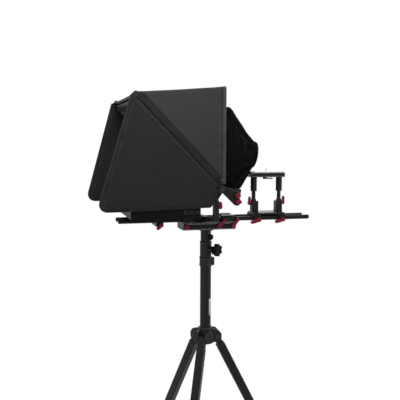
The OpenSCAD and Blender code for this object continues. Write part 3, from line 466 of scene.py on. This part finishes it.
# Seam tape; as the middle strip of a wing's front tape it is painted groove shade
seam_tape_and_groove_shade = ribbed_tape("seam_tape_and_groove_shade", 0.0150, 0.06)
# Dark strips on the hood's diagonal seams: painted shadow of the seam gap and of the groove
painted_seam_shadow = ribbed_tape("painted_seam_shadow_strip", 0.0120, 0.06)
rear_tape = ribbed_tape("rear_edge_tape", 0.028, 0.12)
# Light strip at the rear edge: painted highlight where the cloth rounds over the edge
edge_tape = ribbed_tape("rear_edge_painted_highlight", 0.042, 0.14)
# Dark strip on the rear tape: painted shade of the sewn groove
painted_groove_shade = ribbed_tape("painted_groove_shade", 0.0200, 0.08)
black_thread = sewing_thread("black_thread", 0.008)
screw_black = satin_anodised("black_oxide_screw", tint(0.020), tint(0.25), 0.34, 0.2, 0.3)
# Plates with bare light edges all round: partly cut bare metal, partly a painted highlight along the edges
plate_black_edge_highlight = satin_anodised("black_plate_bare_and_highlight_edges", ANODISED, tint(0.45), 0.34, 0.0, 0.14, 0.6)
port_metal = satin_anodised("dark_port_shells", tint(0.014), tint(0.16), 0.40, 0.3, 0.2)
label_white = blank_label("blank_label")

# Sewn tapes and painted strips of groove shade, seam shadow and edge highlight: width and finish of each
# layer, the widest first
WING_LOW_TAPE = [(HEM_W, seam_tape_and_groove_shade)]
WING_DIAGONAL_TAPE = [(0.0120, hem_tape)]
# Its middle, darker strip is painted shade of the groove sewn along the hem
WING_FRONT_TAPE = [(0.0175, hem_tape), (0.0105, seam_tape_and_groove_shade), (0.0068, hem_tape)]
HOOD_FRONT_HEM = [(HEM_W, rear_tape)]
# Its two dark strips are painted shadow: of the gap at the seam, and of the groove at the tape's inner edge
HOOD_DIAGONAL_TAPE = [(0.0235, painted_seam_shadow), (0.0190, seam_tape_and_groove_shade), (0.0085, painted_seam_shadow)]
# Its middle strip is painted shade of a groove, and its narrowest strip, at the rear edge, a painted
# highlight
HOOD_REAR_TAPE = [(REAR_TAPE_W, rear_tape), (0.0165, painted_groove_shade), (0.0105, edge_tape)]


# Making pieces
def kept(bm, name, finish, body, sharp=32):
    """Turns a bmesh into a piece that rides on a body, smooth but for its sharp edges."""
    for face in bm.faces:
        face.smooth = True
    for edge in bm.edges:
        edge.smooth = edge.calc_face_angle(0.0) < math.radians(sharp)
    mesh = bpy.data.meshes.new(name)
    bm.to_mesh(mesh)
    bm.free()
    mesh.materials.append(finish)
    piece = bpy.data.objects.new(name, mesh)
    scene.collection.objects.link(piece)
    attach(piece, body)
    return piece


def flattened(piece):
    """Keeps broad faces flat beside their rounded edges."""
    weighted = piece.modifiers.new("flat_faces", "WEIGHTED_NORMAL")
    weighted.keep_sharp = True
    weighted.weight = 60
    return piece


def added(bm, part, place):
    """Moves a part to its place and puts it into bm."""
    bmesh.ops.transform(part, matrix=place, verts=part.verts)
    if place.determinant() < 0:
        bmesh.ops.reverse_faces(part, faces=part.faces)
    mesh = bpy.data.meshes.new("part")
    part.to_mesh(mesh)
    part.free()
    bm.from_mesh(mesh)
    bpy.data.meshes.remove(mesh)


def placing(seat, axis):
    """Matrix that stands a part made along +z on a seat."""
    return Matrix.Translation(seat) @ Vector(axis).to_track_quat("Z", "Y").to_matrix().to_4x4()


def turn_out(bm, outward):
    """Turns the faces so that they look outward on the whole."""
    bmesh.ops.recalc_face_normals(bm, faces=bm.faces)
    if sum((f.normal * f.calc_area() for f in bm.faces), Vector()).dot(outward) < 0:
        bmesh.ops.reverse_faces(bm, faces=bm.faces)


def signed_power(value, power):
    """Power of a value that keeps its sign; below 1 it squares off a circle."""
    return math.copysign(abs(value) ** power, value)


def eased(value, low, high):
    """0 below low, 1 above high, and a soft step between them."""
    share = max(0.0, min(1.0, (value - low) / (high - low)))
    return share * share * (3 - 2 * share)


def rounded_panel(corners, radii):
    """One flat face through the corners, each rounded to its radius."""
    bm = bmesh.new()
    verts = [bm.verts.new(c) for c in corners]
    bm.faces.new(verts)
    count = len(corners)
    for i, radius in enumerate(radii):
        if not radius:
            continue
        back = (corners[i - 1] - corners[i]).normalized()
        ahead = (corners[(i + 1) % count] - corners[i]).normalized()
        bmesh.ops.bevel(bm, geom=[verts[i]], offset=radius / math.tan(back.angle(ahead) / 2),
            offset_type="OFFSET", affect="VERTICES", segments=7, profile=0.5, material=-1)
    return bm


def swept(around, rings, point):
    """Open tube of rings; point(t, a) gives the place at t along it and angle a round it."""
    bm = bmesh.new()
    rows = [bmesh.ops.create_circle(bm, segments=around, radius=1)["verts"]]
    for _ in range(rings):
        last = set(rows[-1])
        edges = [e for e in bm.edges if e.verts[0] in last and e.verts[1] in last]
        made = bmesh.ops.extrude_edge_only(bm, edges=edges)["geom"]
        rows.append([v for v in made if isinstance(v, bmesh.types.BMVert)])
    for k, row in enumerate(rows):
        for vert in row:
            vert.co = point(k / rings, math.atan2(vert.co.y, vert.co.x))
    bm.verts.index_update()
    return bm, rows


def rounded_edges(bm, width, segments=2, angle=34):
    """Rounds the sharp outer edges run by run, so that no small hole holds a long edge back.

    The new faces carry the mark of the ones that wear.
    """
    worn = bm.faces.layers.float.get("worn") or bm.faces.layers.float.new("worn")
    run = bm.edges.layers.int.new("run")
    sharp = [e for e in bm.edges if e.is_convex and e.calc_face_angle(0.0) > math.radians(angle)]
    for edge in sharp:
        edge[run] = -1
    count = 0
    for first in sharp:
        if first[run] > 0:
            continue
        count += 1
        waiting = [first]
        while waiting:
            edge = waiting.pop()
            edge[run] = count
            waiting.extend(n for v in edge.verts for n in v.link_edges if n[run] < 0)
    for k in range(1, count + 1):
        made = bmesh.ops.bevel(bm, geom=[e for e in bm.edges if e[run] == k], offset=width,
            offset_type="OFFSET", affect="EDGES", segments=segments, profile=0.5, material=-1,
            clamp_overlap=True)
        for face in made["faces"]:
            face[worn] = 1.0
            for edge in face.edges:
                edge[run] = 0
    bm.edges.layers.int.remove(run)


def copied(node):
    """Merged copy of a node's mesh, its flat faces whole again."""
    bm = bmesh.new()
    bm.from_mesh(frame["nodes"][node].data)
    bmesh.ops.remove_doubles(bm, verts=bm.verts, dist=0.000004)
    bmesh.ops.dissolve_limit(bm, angle_limit=math.radians(0.6), verts=bm.verts, edges=bm.edges)
    return bm


EDGE_ROUND = {"spider": 0.0012, "column_clamp": 0.0010, "top_socket": 0.0010, "star_knob": 0.0018,
    "socket_knob": 0.0009, "monitor_case": 0.0009, "monitor_bezel": 0.0010, "mirror_glass": 0.0003,
    "base_plate": 0.0016, "yoke": 0.0008, "riser_base": 0.0008, "camera_plate": 0.0007,
    "monitor_ports": 0.0003, "rod_clamps": 0.0004, "leg_upper_left": 0.0003, "leg_upper_right": 0.0003,
    "leg_upper_rear": 0.0003}
EDGE_DEFAULT = 0.0006
OWN_FINISH = {"rods": rod_metal, "mirror_hinge_pins": screw_black, "leg_hinge_pins": screw_black,
    "monitor_ports": port_metal, "base_plate": plate_black_edge_highlight, "camera_plate": plate_black_edge_highlight}


def dressed(node):
    """The node with rounded edges and its finish, in place of the bare solid."""
    bm = copied(node)
    rounded_edges(bm, EDGE_ROUND.get(node, EDGE_DEFAULT))
    finish = OWN_FINISH.get(node, FINISHES[SLOT_OF[node]])
    piece = kept(bm, node + "_finished", finish, BODY_OF[node])
    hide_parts(node)
    return flattened(piece)


SOFT_NODES = ("hood_wing_left", "hood_wing_right", "hood_sides", "hood_roof", "lens_shroud")
for node_name in BODY_OF:
    if node_name not in SOFT_NODES:
        dressed(node_name)


# Hood cloth
def side_y(x):
    """Half width of the hood at x."""
    return HOOD_HALF + (HOOD_REAR - x) * math.tan(HOOD_FLARE)


def roof_z(x):
    """Height of the roof at x, above the rods."""
    return HOOD_TOP - HOOD_FALL * (HOOD_REAR - x) / (HOOD_REAR - HOOD_FRONT)


def on_side(side, x, z, out=0.0):
    """Point on a hood side at x and at z above the rods; side is -1 left or 1 right."""
    lift = Vector((math.sin(HOOD_FLARE), side * math.cos(HOOD_FLARE), 0)) * out
    return Vector((x, side * side_y(x), ROD_Z + z)) + lift


def wing_y(z):
    """Half width of the wings at z above the rods; they lean out from the mirror's line."""
    return side_y(0) + (z - HINGE_RISE) * math.tan(HOOD_FLARE)


def cut(bm, geom, spot, normal):
    """Cuts faces through by a plane and keeps both sides."""
    bmesh.ops.bisect_plane(bm, geom=geom, dist=0.000002, plane_co=spot, plane_no=normal)


def diced(bm, axis, wanted=None, cell=CLOTH_CELL):
    """Cuts the wanted faces into even cells along an axis."""
    low = min(v.co[axis] for v in bm.verts)
    high = max(v.co[axis] for v in bm.verts)
    count = round((high - low) / cell)
    normal = Vector((axis == 0, axis == 1, axis == 2))
    for i in range(1, count):
        faces = [f for f in bm.faces if wanted is None or wanted(f)]
        edges = {e for f in faces for e in f.edges}
        verts = {v for f in faces for v in f.verts}
        cut(bm, [*verts, *edges, *faces], normal * (low + (high - low) * i / count), normal)


def creased(bm, bow, edge_distance):
    """Bows the cloth out between its edges and gives it soft uneven creases."""
    bm.normal_update()
    moves = []
    for vert in bm.verts:
        free = eased(edge_distance(vert.co), 0.0, 0.09)
        soft = noise.noise(vert.co * 9.0) + 0.5 * noise.noise(vert.co * 23.0)
        moves.append(vert.normal * (free * (bow + CREASE * soft)))
    for vert, move in zip(bm.verts, moves):
        vert.co += move


def sheet_piece(surface, name, finish, body, thickness, proud=0.0, soft_edge=0.0004):
    """A cloth surface as a piece with thickness inwards, standing proud of its own face."""
    surface.normal_update()
    for vert, normal in [(v, v.normal.copy()) for v in surface.verts]:
        vert.co += normal * proud
    piece = kept(surface, name, finish, body, 50)
    shell = piece.modifiers.new("thickness", "SOLIDIFY")
    shell.thickness = thickness
    shell.offset = -1
    edge = piece.modifiers.new("soft_edge", "BEVEL")
    edge.width = soft_edge
    edge.segments = 2
    edge.limit_method = "ANGLE"
    edge.angle_limit = math.radians(50)
    return piece


def anywhere(spot):
    """Test of a line that runs along the whole surface."""
    return True


def hem_of(surface, lines, width):
    """Strip of the surface along some of its edges; a line is a point, the way in and a test."""
    bm = surface.copy()
    for spot, inward, wanted in lines:
        faces = [f for f in bm.faces if wanted(f.calc_center_median())]
        edges = {e for f in faces for e in f.edges}
        verts = {v for f in faces for v in f.verts}
        cut(bm, [*verts, *edges, *faces], spot + inward * width, inward)
    spare = []
    for face in bm.faces:
        middle_of = face.calc_center_median()
        depths = [(middle_of - spot).dot(inward) for spot, inward, wanted in lines if wanted(middle_of)]
        if not depths or min(depths) > width:
            spare.append(face)
    bmesh.ops.delete(bm, geom=spare, context="FACES")
    return bm


def strips_on(surface, lines, strips, name):
    """Strips along some edges, each narrower one on top of the wider one; most are sewn tape, some are
    painted groove shade, seam shadow and edge highlight.
    """
    pieces = []
    for i, (width, finish) in enumerate(strips):
        proud = HEM_PROUD + STRIP_STEP * i
        pieces.append(sheet_piece(hem_of(surface, lines, width), "%s_%d" % (name, i + 1), finish,
            "mirror", CLOTH_T + 2 * proud, proud))
    return pieces


def stitched(bm, tree, start, end, lift):
    """Row of stitches on the cloth from start to end."""
    way = (end - start).normalized()
    span = (end - start).length - 2 * STITCH_TRIM
    count = int(span / STITCH_PITCH)
    if count < 1:
        return
    for i in range(count + 1):
        spot, normal, _, _ = tree.find_nearest(start + way * (STITCH_TRIM + span * i / count))
        across = normal.cross(way).normalized()
        turned = Matrix((way, across, normal)).transposed().to_4x4()
        size = Matrix.Diagonal(STITCH_SIZE)
        bmesh.ops.create_icosphere(bm, subdivisions=1, radius=1,
            matrix=Matrix.Translation(spot + normal * lift) @ turned @ size)


def wing(side, name):
    """Stiffened cloth wing with a taped and stitched border."""
    corners = [Vector((x, side * wing_y(z), ROD_Z + z)) for x, z in WING_CORNERS]
    count = len(corners)
    bm = rounded_panel(corners, WING_RADII)
    cut_area = sum(f.calc_area() for f in bm.faces)
    diced(bm, 0)
    diced(bm, 2)
    outward = Vector((0, side * math.cos(HOOD_FLARE), -math.sin(HOOD_FLARE)))
    turn_out(bm, outward)
    middle_of = sum(corners, Vector()) / count
    lines = []
    for i, corner in enumerate(corners):
        ahead = (corners[(i + 1) % count] - corner).normalized()
        inward = outward.cross(ahead)
        if inward.dot(middle_of - corner) < 0:
            inward = -inward
        lines.append((corner, inward, anywhere))
    creased(bm, WING_BOW, lambda co: min((co - spot).dot(inward) for spot, inward, _ in lines))
    tree = BVHTree.FromBMesh(bm)
    borders = strips_on(bm, lines[2:], WING_LOW_TAPE, name + "_low_tape")
    borders += strips_on(bm, lines[:1], WING_DIAGONAL_TAPE, name + "_diagonal_tape")
    borders += strips_on(bm, lines[1:2], WING_FRONT_TAPE, name + "_front_tape")
    sewing = bmesh.new()
    for i in range(count):
        spot, inward, _ = lines[i]
        before, after = lines[i - 1][1], lines[(i + 1) % count][1]
        start = spot + (inward + before) * WING_STITCH_IN / (1 + inward.dot(before))
        end = corners[(i + 1) % count] + (inward + after) * WING_STITCH_IN / (1 + inward.dot(after))
        stitched(sewing, tree, start, end, HEM_PROUD + STRIP_STEP)
    # Wing cloth is the hood cloth made darker: painted shade
    piece = sheet_piece(bm, name + "_cloth", wing_cloth_painted_shade, "mirror", CLOTH_T)
    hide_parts(name)
    seams = kept(sewing, name + "_stitches", black_thread, "mirror", 80)


def hood_cover():
    """Top and both rear sides of the hood, one cloth folded over the top edges."""
    bm = bmesh.new()
    rows = []
    diagonal_top = (HOOD_FRONT + 0.008, HINGE_RISE + SEAM_HALF - HOOD_FRONT - 0.008)
    diagonal_low = (HINGE_RISE + SEAM_HALF - HOOD_LOW, HOOD_LOW)
    for side in (-1, 1):
        spots = [(HOOD_REAR, HOOD_LOW), (HOOD_REAR, HOOD_TOP), (HOOD_FRONT, HOOD_TOP - HOOD_FALL),
            diagonal_top, diagonal_low]
        verts = [bm.verts.new(on_side(side, x, z)) for x, z in spots]
        bm.faces.new(verts)
        rows.append(verts)
    left, right = rows
    bm.faces.new((left[1], left[2], right[2], right[1]))
    turn_out(bm, Vector((0, 0, 1)))
    cut_area = sum(f.calc_area() for f in bm.faces)
    folds = [e for e in bm.edges if len(e.link_faces) == 2]
    bmesh.ops.bevel(bm, geom=folds, offset=HOOD_FOLD_R, offset_type="OFFSET", affect="EDGES", segments=4,
        profile=0.5, material=-1, clamp_overlap=True)
    diced(bm, 0)
    diced(bm, 2, lambda f: abs(f.normal.z) < 0.3)
    diced(bm, 1, lambda f: f.normal.z > 0.9)
    diagonal_at = {side: on_side(side, *diagonal_low) for side in (-1, 1)}

    def free(co):
        rear = HOOD_REAR - co.x - REAR_TAPE_W
        front = co.x - HOOD_FRONT
        side = 1 if co.y > 0 else -1
        return max(0.0, min(rear, front + 0.03, (co - diagonal_at[side]).dot(Vector((1, 0, 1))) * 0.7))

    creased(bm, COVER_BOW, free)
    for vert in bm.verts:
        roof_share = eased(side_y(vert.co.x) - abs(vert.co.y), 0.004, 0.12)
        vert.co.z -= ROOF_SAG * roof_share * eased(HOOD_REAR - vert.co.x, 0.03, 0.27)
    tree = BVHTree.FromBMesh(bm)
    lines = [(Vector((HOOD_FRONT, 0, 0)), Vector((1, 0, 0)), anywhere)]
    for side in (-1, 1):
        out = Vector((math.sin(HOOD_FLARE), side * math.cos(HOOD_FLARE), 0))
        way = (on_side(side, *diagonal_top) - on_side(side, *diagonal_low)).normalized()
        inward = out.cross(way)
        if inward.x < 0:
            inward = -inward
        lines.append((diagonal_at[side], inward,
            lambda spot, side=side: spot.y * side > 0 and side_y(spot.x) - abs(spot.y) < 0.003))
    rear_line = (Vector((HOOD_REAR, 0, 0)), Vector((-1, 0, 0)), anywhere)
    borders = strips_on(bm, lines[:1], HOOD_FRONT_HEM, "hood_front_hem")
    borders += strips_on(bm, lines[1:], HOOD_DIAGONAL_TAPE, "hood_diagonal_tape_and_seam_shadow")
    borders += strips_on(bm, [rear_line], HOOD_REAR_TAPE, "hood_rear_tape")
    sewing = bmesh.new()
    front_x = HOOD_FRONT + HEM_W * 0.8
    stitched(sewing, tree, Vector((front_x, -side_y(front_x), ROD_Z + roof_z(front_x))),
        Vector((front_x, side_y(front_x), ROD_Z + roof_z(front_x))), HEM_PROUD)
    for (spot, inward, _), side in zip(lines[1:], (-1, 1)):
        stitched(sewing, tree, spot + inward * DIAGONAL_STITCH_IN,
            on_side(side, *diagonal_top) + inward * DIAGONAL_STITCH_IN, HEM_PROUD + STRIP_STEP)
    rear_lift = HEM_PROUD + 2 * STRIP_STEP
    for back in REAR_STITCHES_IN:
        x = HOOD_REAR - back
        for side in (-1, 1):
            stitched(sewing, tree, on_side(side, x, HOOD_LOW), on_side(side, x, HOOD_TOP), rear_lift)
        stitched(sewing, tree, Vector((x, -HOOD_HALF, ROD_Z + HOOD_TOP)),
            Vector((x, HOOD_HALF, ROD_Z + HOOD_TOP)), rear_lift)
    piece = sheet_piece(bm, "hood_cover", FINISHES["hood_cloth"], "mirror", CLOTH_T)
    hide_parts("hood_sides", "hood_roof")
    seams = kept(sewing, "hood_cover_stitches", black_thread, "mirror", 80)
    2 * (HOOD_TOP - HOOD_LOW + side_y(HOOD_FRONT))


def front_binding():
    """Rolled hem along the hood's front edge: it sags with it and stands up at its ends."""
    width = side_y(HOOD_FRONT) - 0.003

    def point(t, a):
        y = width * (2 * t - 1)
        lump = eased(abs(y), width - LUMP_FROM, width - LUMP_TO)
        sag = ROOF_SAG * eased(width - abs(y), 0.0, 0.12) - LUMP_RISE * lump
        end = min(1.0, (width - abs(y)) / LUMP_TO)
        grow = math.sqrt(max(0.0, 1 - (1 - end) ** 2))
        across = (BINDING_HALF_W + LUMP_GROWTH * lump) * grow * signed_power(math.cos(a), 0.6 + 0.3 * lump)
        up = BINDING_HALF_H * grow * signed_power(math.sin(a), 0.6)
        return Vector((HOOD_FRONT + 0.0006 + LUMP_GROWTH * lump + across, y,
            ROD_Z + HOOD_TOP - HOOD_FALL - BINDING_UNDER - sag + up))

    bm, _ = swept(16, 240, point)
    bmesh.ops.remove_doubles(bm, verts=bm.verts, dist=0.00002)
    turn_out(bm, Vector((0, 0, 0)))
    kept(bm, "hood_front_binding", rear_tape, "mirror", 80)


def corner_gusset(side, name):
    """Patch that ties a wing's tip to the hood's front corner."""
    tip = 0.393
    back = HOOD_FRONT + 0.014
    corners = [on_side(side, back, roof_z(back) - 0.004, 0.001),
        on_side(side, HOOD_FRONT - 0.001, roof_z(HOOD_FRONT) - 0.002, 0.001),
        Vector((HOOD_FRONT - 0.0075, side * (wing_y(tip) + 0.001), ROD_Z + tip)),
        on_side(side, HOOD_FRONT + 0.004, HINGE_RISE - HOOD_FRONT - 0.012, 0.001)]
    bm = rounded_panel(corners, (0.002, 0.002, 0.002, 0.003))
    turn_out(bm, Vector((0, side, 0)))
    bmesh.ops.triangulate(bm, faces=bm.faces)
    sheet_piece(bm, name, hem_tape, "mirror", CLOTH_T, 0.0004)


# Lens shroud
def shroud_point(t, a):
    """Point of the slack tunnel: t from the hood to the lens, a round it."""
    roundness = 2 / (9 * (1 - t) ** 2 + 2)
    half_w = (HOOD_HALF - MOUTH_IN) * (1 - t) + LENS_R * t
    high = (HOOD_TOP - MOUTH_TOP_IN) * (1 - t) + (LENS_RISE + LENS_R) * t
    high -= HEADER * (1 - t) * math.exp(-(t / 0.15) ** 2)
    low = (HOOD_LOW + MOUTH_LOW_IN) * (1 - t) + (LENS_RISE - LENS_R) * t
    sag = SHROUD_SAG * math.sin(math.pi * t) * max(0.0, -math.sin(a))
    across, up = signed_power(math.cos(a), roundness), signed_power(math.sin(a), roundness)
    if t == 0:
        # The mouth fills the corners of the rear frame and laps over its header
        across, up = (part / max(abs(across), abs(up)) for part in (across, up))
        high += MOUTH_LAP
    return Vector((
        HOOD_REAR + MOUTH_GAP + (SHROUD_REAR - HOOD_REAR) * t + LENS_TILT * t * math.sin(a),
        half_w * across, ROD_Z + (high + low) / 2 + (high - low) / 2 * up - sag))


def draped(piece, held, frames, growth):
    """Lets slack cloth settle under a slight pressure, its held points fixed; growth is its slack."""
    group = piece.vertex_groups.new(name="held")
    group.add(held, 1.0, "REPLACE")
    cloth = piece.modifiers.new("settle", "CLOTH")
    cloth.settings.quality = 7
    cloth.settings.mass = 0.3
    cloth.settings.tension_stiffness = 12
    cloth.settings.compression_stiffness = 12
    cloth.settings.shear_stiffness = 4
    cloth.settings.bending_stiffness = 0.35
    cloth.settings.vertex_group_mass = "held"
    cloth.settings.use_pressure = True
    cloth.settings.uniform_pressure_force = 9.0
    cloth.settings.effector_weights.gravity = 0.0
    cloth.settings.shrink_min = -growth
    cloth.collision_settings.use_collision = False
    cloth.collision_settings.use_self_collision = True
    cloth.collision_settings.self_distance_min = 0.003
    for step in range(1, frames + 1):
        scene.frame_set(step)
    graph = bpy.context.evaluated_depsgraph_get()
    settled = [v.co.copy() for v in piece.evaluated_get(graph).data.vertices]
    piece.modifiers.remove(cloth)
    scene.frame_set(1)
    return settled


def shroud():
    """Light-tight cloth tunnel, slack between the hood's rear edge and its lens end."""
    bm, rows = swept(SHROUD_AROUND, SHROUD_RINGS, shroud_point)
    held = [v.index for row in (rows[0], rows[1], rows[-2], rows[-1]) for v in row]
    share = {v.index: k / SHROUD_RINGS for k, row in enumerate(rows) for v in row}
    turn_out(bm, Vector((1, 0, 0)))
    bm.normal_update()
    for vert, normal in [(v, v.normal.copy()) for v in bm.verts]:
        t = share[vert.index]
        turn = math.atan2(vert.co.z - ROD_Z - LENS_RISE, vert.co.y)
        fold = math.cos(GATHERS * turn + 2.5 * noise.noise(vert.co * 14)) + 0.5 * noise.noise(vert.co * 40)
        vert.co += normal * (GATHER_DEPTH * math.sin(math.pi * t) ** 0.8 * (0.25 + 0.75 * t) * fold)
    start = [v.co.copy() for v in bm.verts]
    piece = kept(bm, "lens_shroud_cloth", FINISHES["shroud_cloth"], "mirror", 80)
    settled = draped(piece, held, SHROUD_FRAMES, SHROUD_GROWTH)
    for vert, rest, end in zip(piece.data.vertices, start, settled):
        move = end - rest
        most = SHROUD_REACH * math.sin(math.pi * share[vert.index])
        if move.length > most:
            move *= most / move.length
        vert.co = rest + move
    shell = piece.modifiers.new("thickness", "SOLIDIFY")
    shell.thickness = SHROUD_T
    shell.offset = 0
    smooth = piece.modifiers.new("soft_folds", "SUBSURF")
    smooth.levels = 1
    smooth.render_levels = 1
    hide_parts("lens_shroud")
    cuff = lens_cuff()


def lens_cuff():
    """Elastic hem round the lens end, ruffled by its gathers."""
    def point(t, a):
        turn = 2 * math.pi * t
        ruffle = 1 + CUFF_RUFFLE * math.cos(3 * GATHERS * turn)
        ring = LENS_R + CUFF_DEEP * ruffle * math.cos(a)
        x = SHROUD_REAR + LENS_TILT * math.sin(turn) + CUFF_LONG * ruffle * math.sin(a)
        return Vector((x, ring * math.cos(turn), ROD_Z + LENS_RISE + ring * math.sin(turn)))

    bm, _ = swept(12, 276, point)
    bmesh.ops.remove_doubles(bm, verts=bm.verts, dist=0.00002)
    turn_out(bm, Vector((0, 0, 0)))
    return kept(bm, "lens_shroud_cuff", FINISHES["shroud_cloth"], "mirror", 80)


# Small pieces
def screw_head(radius, height, socket):
    """Low screw head with a hexagon socket, made along +z."""
    bm = bmesh.new()
    bmesh.ops.create_cone(bm, cap_ends=True, segments=48, radius1=radius, radius2=radius * 0.94, depth=height,
        matrix=Matrix.Translation((0, 0, height / 2)))
    rounded_edges(bm, height * 0.3, 3, 60)
    top = max(bm.faces, key=lambda f: f.calc_center_median().z)
    bmesh.ops.inset_individual(bm, faces=[top], thickness=radius * 0.35)
    for vert in top.verts:
        turn = math.atan2(vert.co.y, vert.co.x) % (math.pi / 3) - math.pi / 6
        vert.co.xy = vert.co.xy.normalized() * socket / math.cos(turn)
    floor = bmesh.ops.extrude_discrete_faces(bm, faces=[top])["faces"][0]
    bmesh.ops.translate(bm, verts=floor.verts, vec=(0, 0, -height * 0.6))
    return bm


def screws(name, body, size, seats):
    """Screw heads of one size; a seat is a place and the way the head looks."""
    bm = bmesh.new()
    for seat, axis in seats:
        added(bm, screw_head(*size), placing(seat, axis))
    kept(bm, name, screw_black, body)


def column_label():
    """Blank pale label bent round the column tube."""
    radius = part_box("column_tube")[1].x
    half = LABEL_SPREAD * radius
    bm = rounded_panel([Vector((side * half, 0, ROD_Z + z)) for side, z in
        ((-1, LABEL_LOW), (1, LABEL_LOW), (1, LABEL_HIGH), (-1, LABEL_HIGH))], (LABEL_CORNER_R,) * 4)
    diced(bm, 0, cell=LABEL_CELL)
    for vert in bm.verts:
        turn = LABEL_TURN + vert.co.x / radius
        vert.co = Vector((math.cos(turn) * radius, math.sin(turn) * radius, vert.co.z))
    turn_out(bm, Vector((math.cos(LABEL_TURN), math.sin(LABEL_TURN), 0)))
    piece = kept(bm, "column_label", label_white, "stand", 50)
    shell = piece.modifiers.new("thickness", "SOLIDIFY")
    shell.thickness = LABEL_T
    shell.offset = 1


wing(-1, "hood_wing_left")
wing(1, "hood_wing_right")
hood_cover()
front_binding()
corner_gusset(-1, "hood_gusset_left")
corner_gusset(1, "hood_gusset_right")
shroud()
side_out = {side: (math.sin(HOOD_FLARE), side * math.cos(HOOD_FLARE), 0) for side in (-1, 1)}
screws("hood_side_screws", "mirror", SIDE_SCREW,
    [(on_side(side, *SIDE_SCREW_AT), side_out[side]) for side in (-1, 1)])
pin_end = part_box("mirror_hinge_pins")[1].y
screws("mirror_hinge_sockets", "mirror_carrier", HINGE_SCREW,
    [((0, side * (pin_end - HINGE_SCREW_IN), ROD_Z + HINGE_RISE), (0, side, 0)) for side in (-1, 1)])
column_label()


# White studio
scene.view_settings.view_transform = "Standard"
FLOOR_R = 1.2


def studio_world():
    """White all round for what is seen, dimmer as a light."""
    world = bpy.data.worlds.new("white_studio")
    scene.world = world
    world.use_nodes = True
    sky = Nodes(world.node_tree)
    back = world.node_tree.nodes["Background"]
    sky.fill(back.inputs["Color"], (1, 1, 1, 1))
    sky.fill(back.inputs["Strength"], 0.16 + 0.84 * sky.seen())


def studio_floor():
    """Pale floor that shows as white and keeps the shadow."""
    f = Finish("pale_floor")
    bm = bmesh.new()
    bmesh.ops.create_circle(bm, cap_ends=True, segments=96, radius=FLOOR_R,
        matrix=Matrix.Translation((0, 0, -0.0002)))
    mesh = bpy.data.meshes.new("studio_floor")
    bm.to_mesh(mesh)
    bm.free()
    mesh.materials.append(f.set(
        Base_Color=f.mixed(f.noise(60, 4), tint(0.78), tint(0.82)),
        Roughness=0.9,
        Emission_Color=f.seen() * 0.65,
        Emission_Strength=1.0))
    floor = bpy.data.objects.new("studio_floor", mesh)
    scene.collection.objects.link(floor)


def soft_lamp(name, place, target, size, power):
    """Round lamp that the camera doesn't see."""
    lamp = bpy.data.lights.new(name, "AREA")
    lamp.shape = "DISK"
    lamp.size = size
    lamp.energy = power
    holder = bpy.data.objects.new(name, lamp)
    aim = Vector(target) - Vector(place)
    holder.matrix_world = Matrix.Translation(place) @ aim.to_track_quat("-Z", "Y").to_matrix().to_4x4()
    holder.visible_camera = False
    scene.collection.objects.link(holder)


studio_world()
studio_floor()
middle = (0, 0, ROD_Z)
soft_lamp("key_lamp", (-0.30, -0.90, ROD_Z + 1.10), middle, 0.8, 18)
soft_lamp("side_lamp", (-1.9, -1.1, ROD_Z - 0.45), (0, 0, ROD_Z - 0.4), 0.8, 6)
soft_lamp("fill_lamp", (2.6, -1.6, ROD_Z + 0.6), middle, 1.8, 30)
soft_lamp("back_lamp", (0.8, 2.6, ROD_Z + 1.6), middle, 1.6, 30)
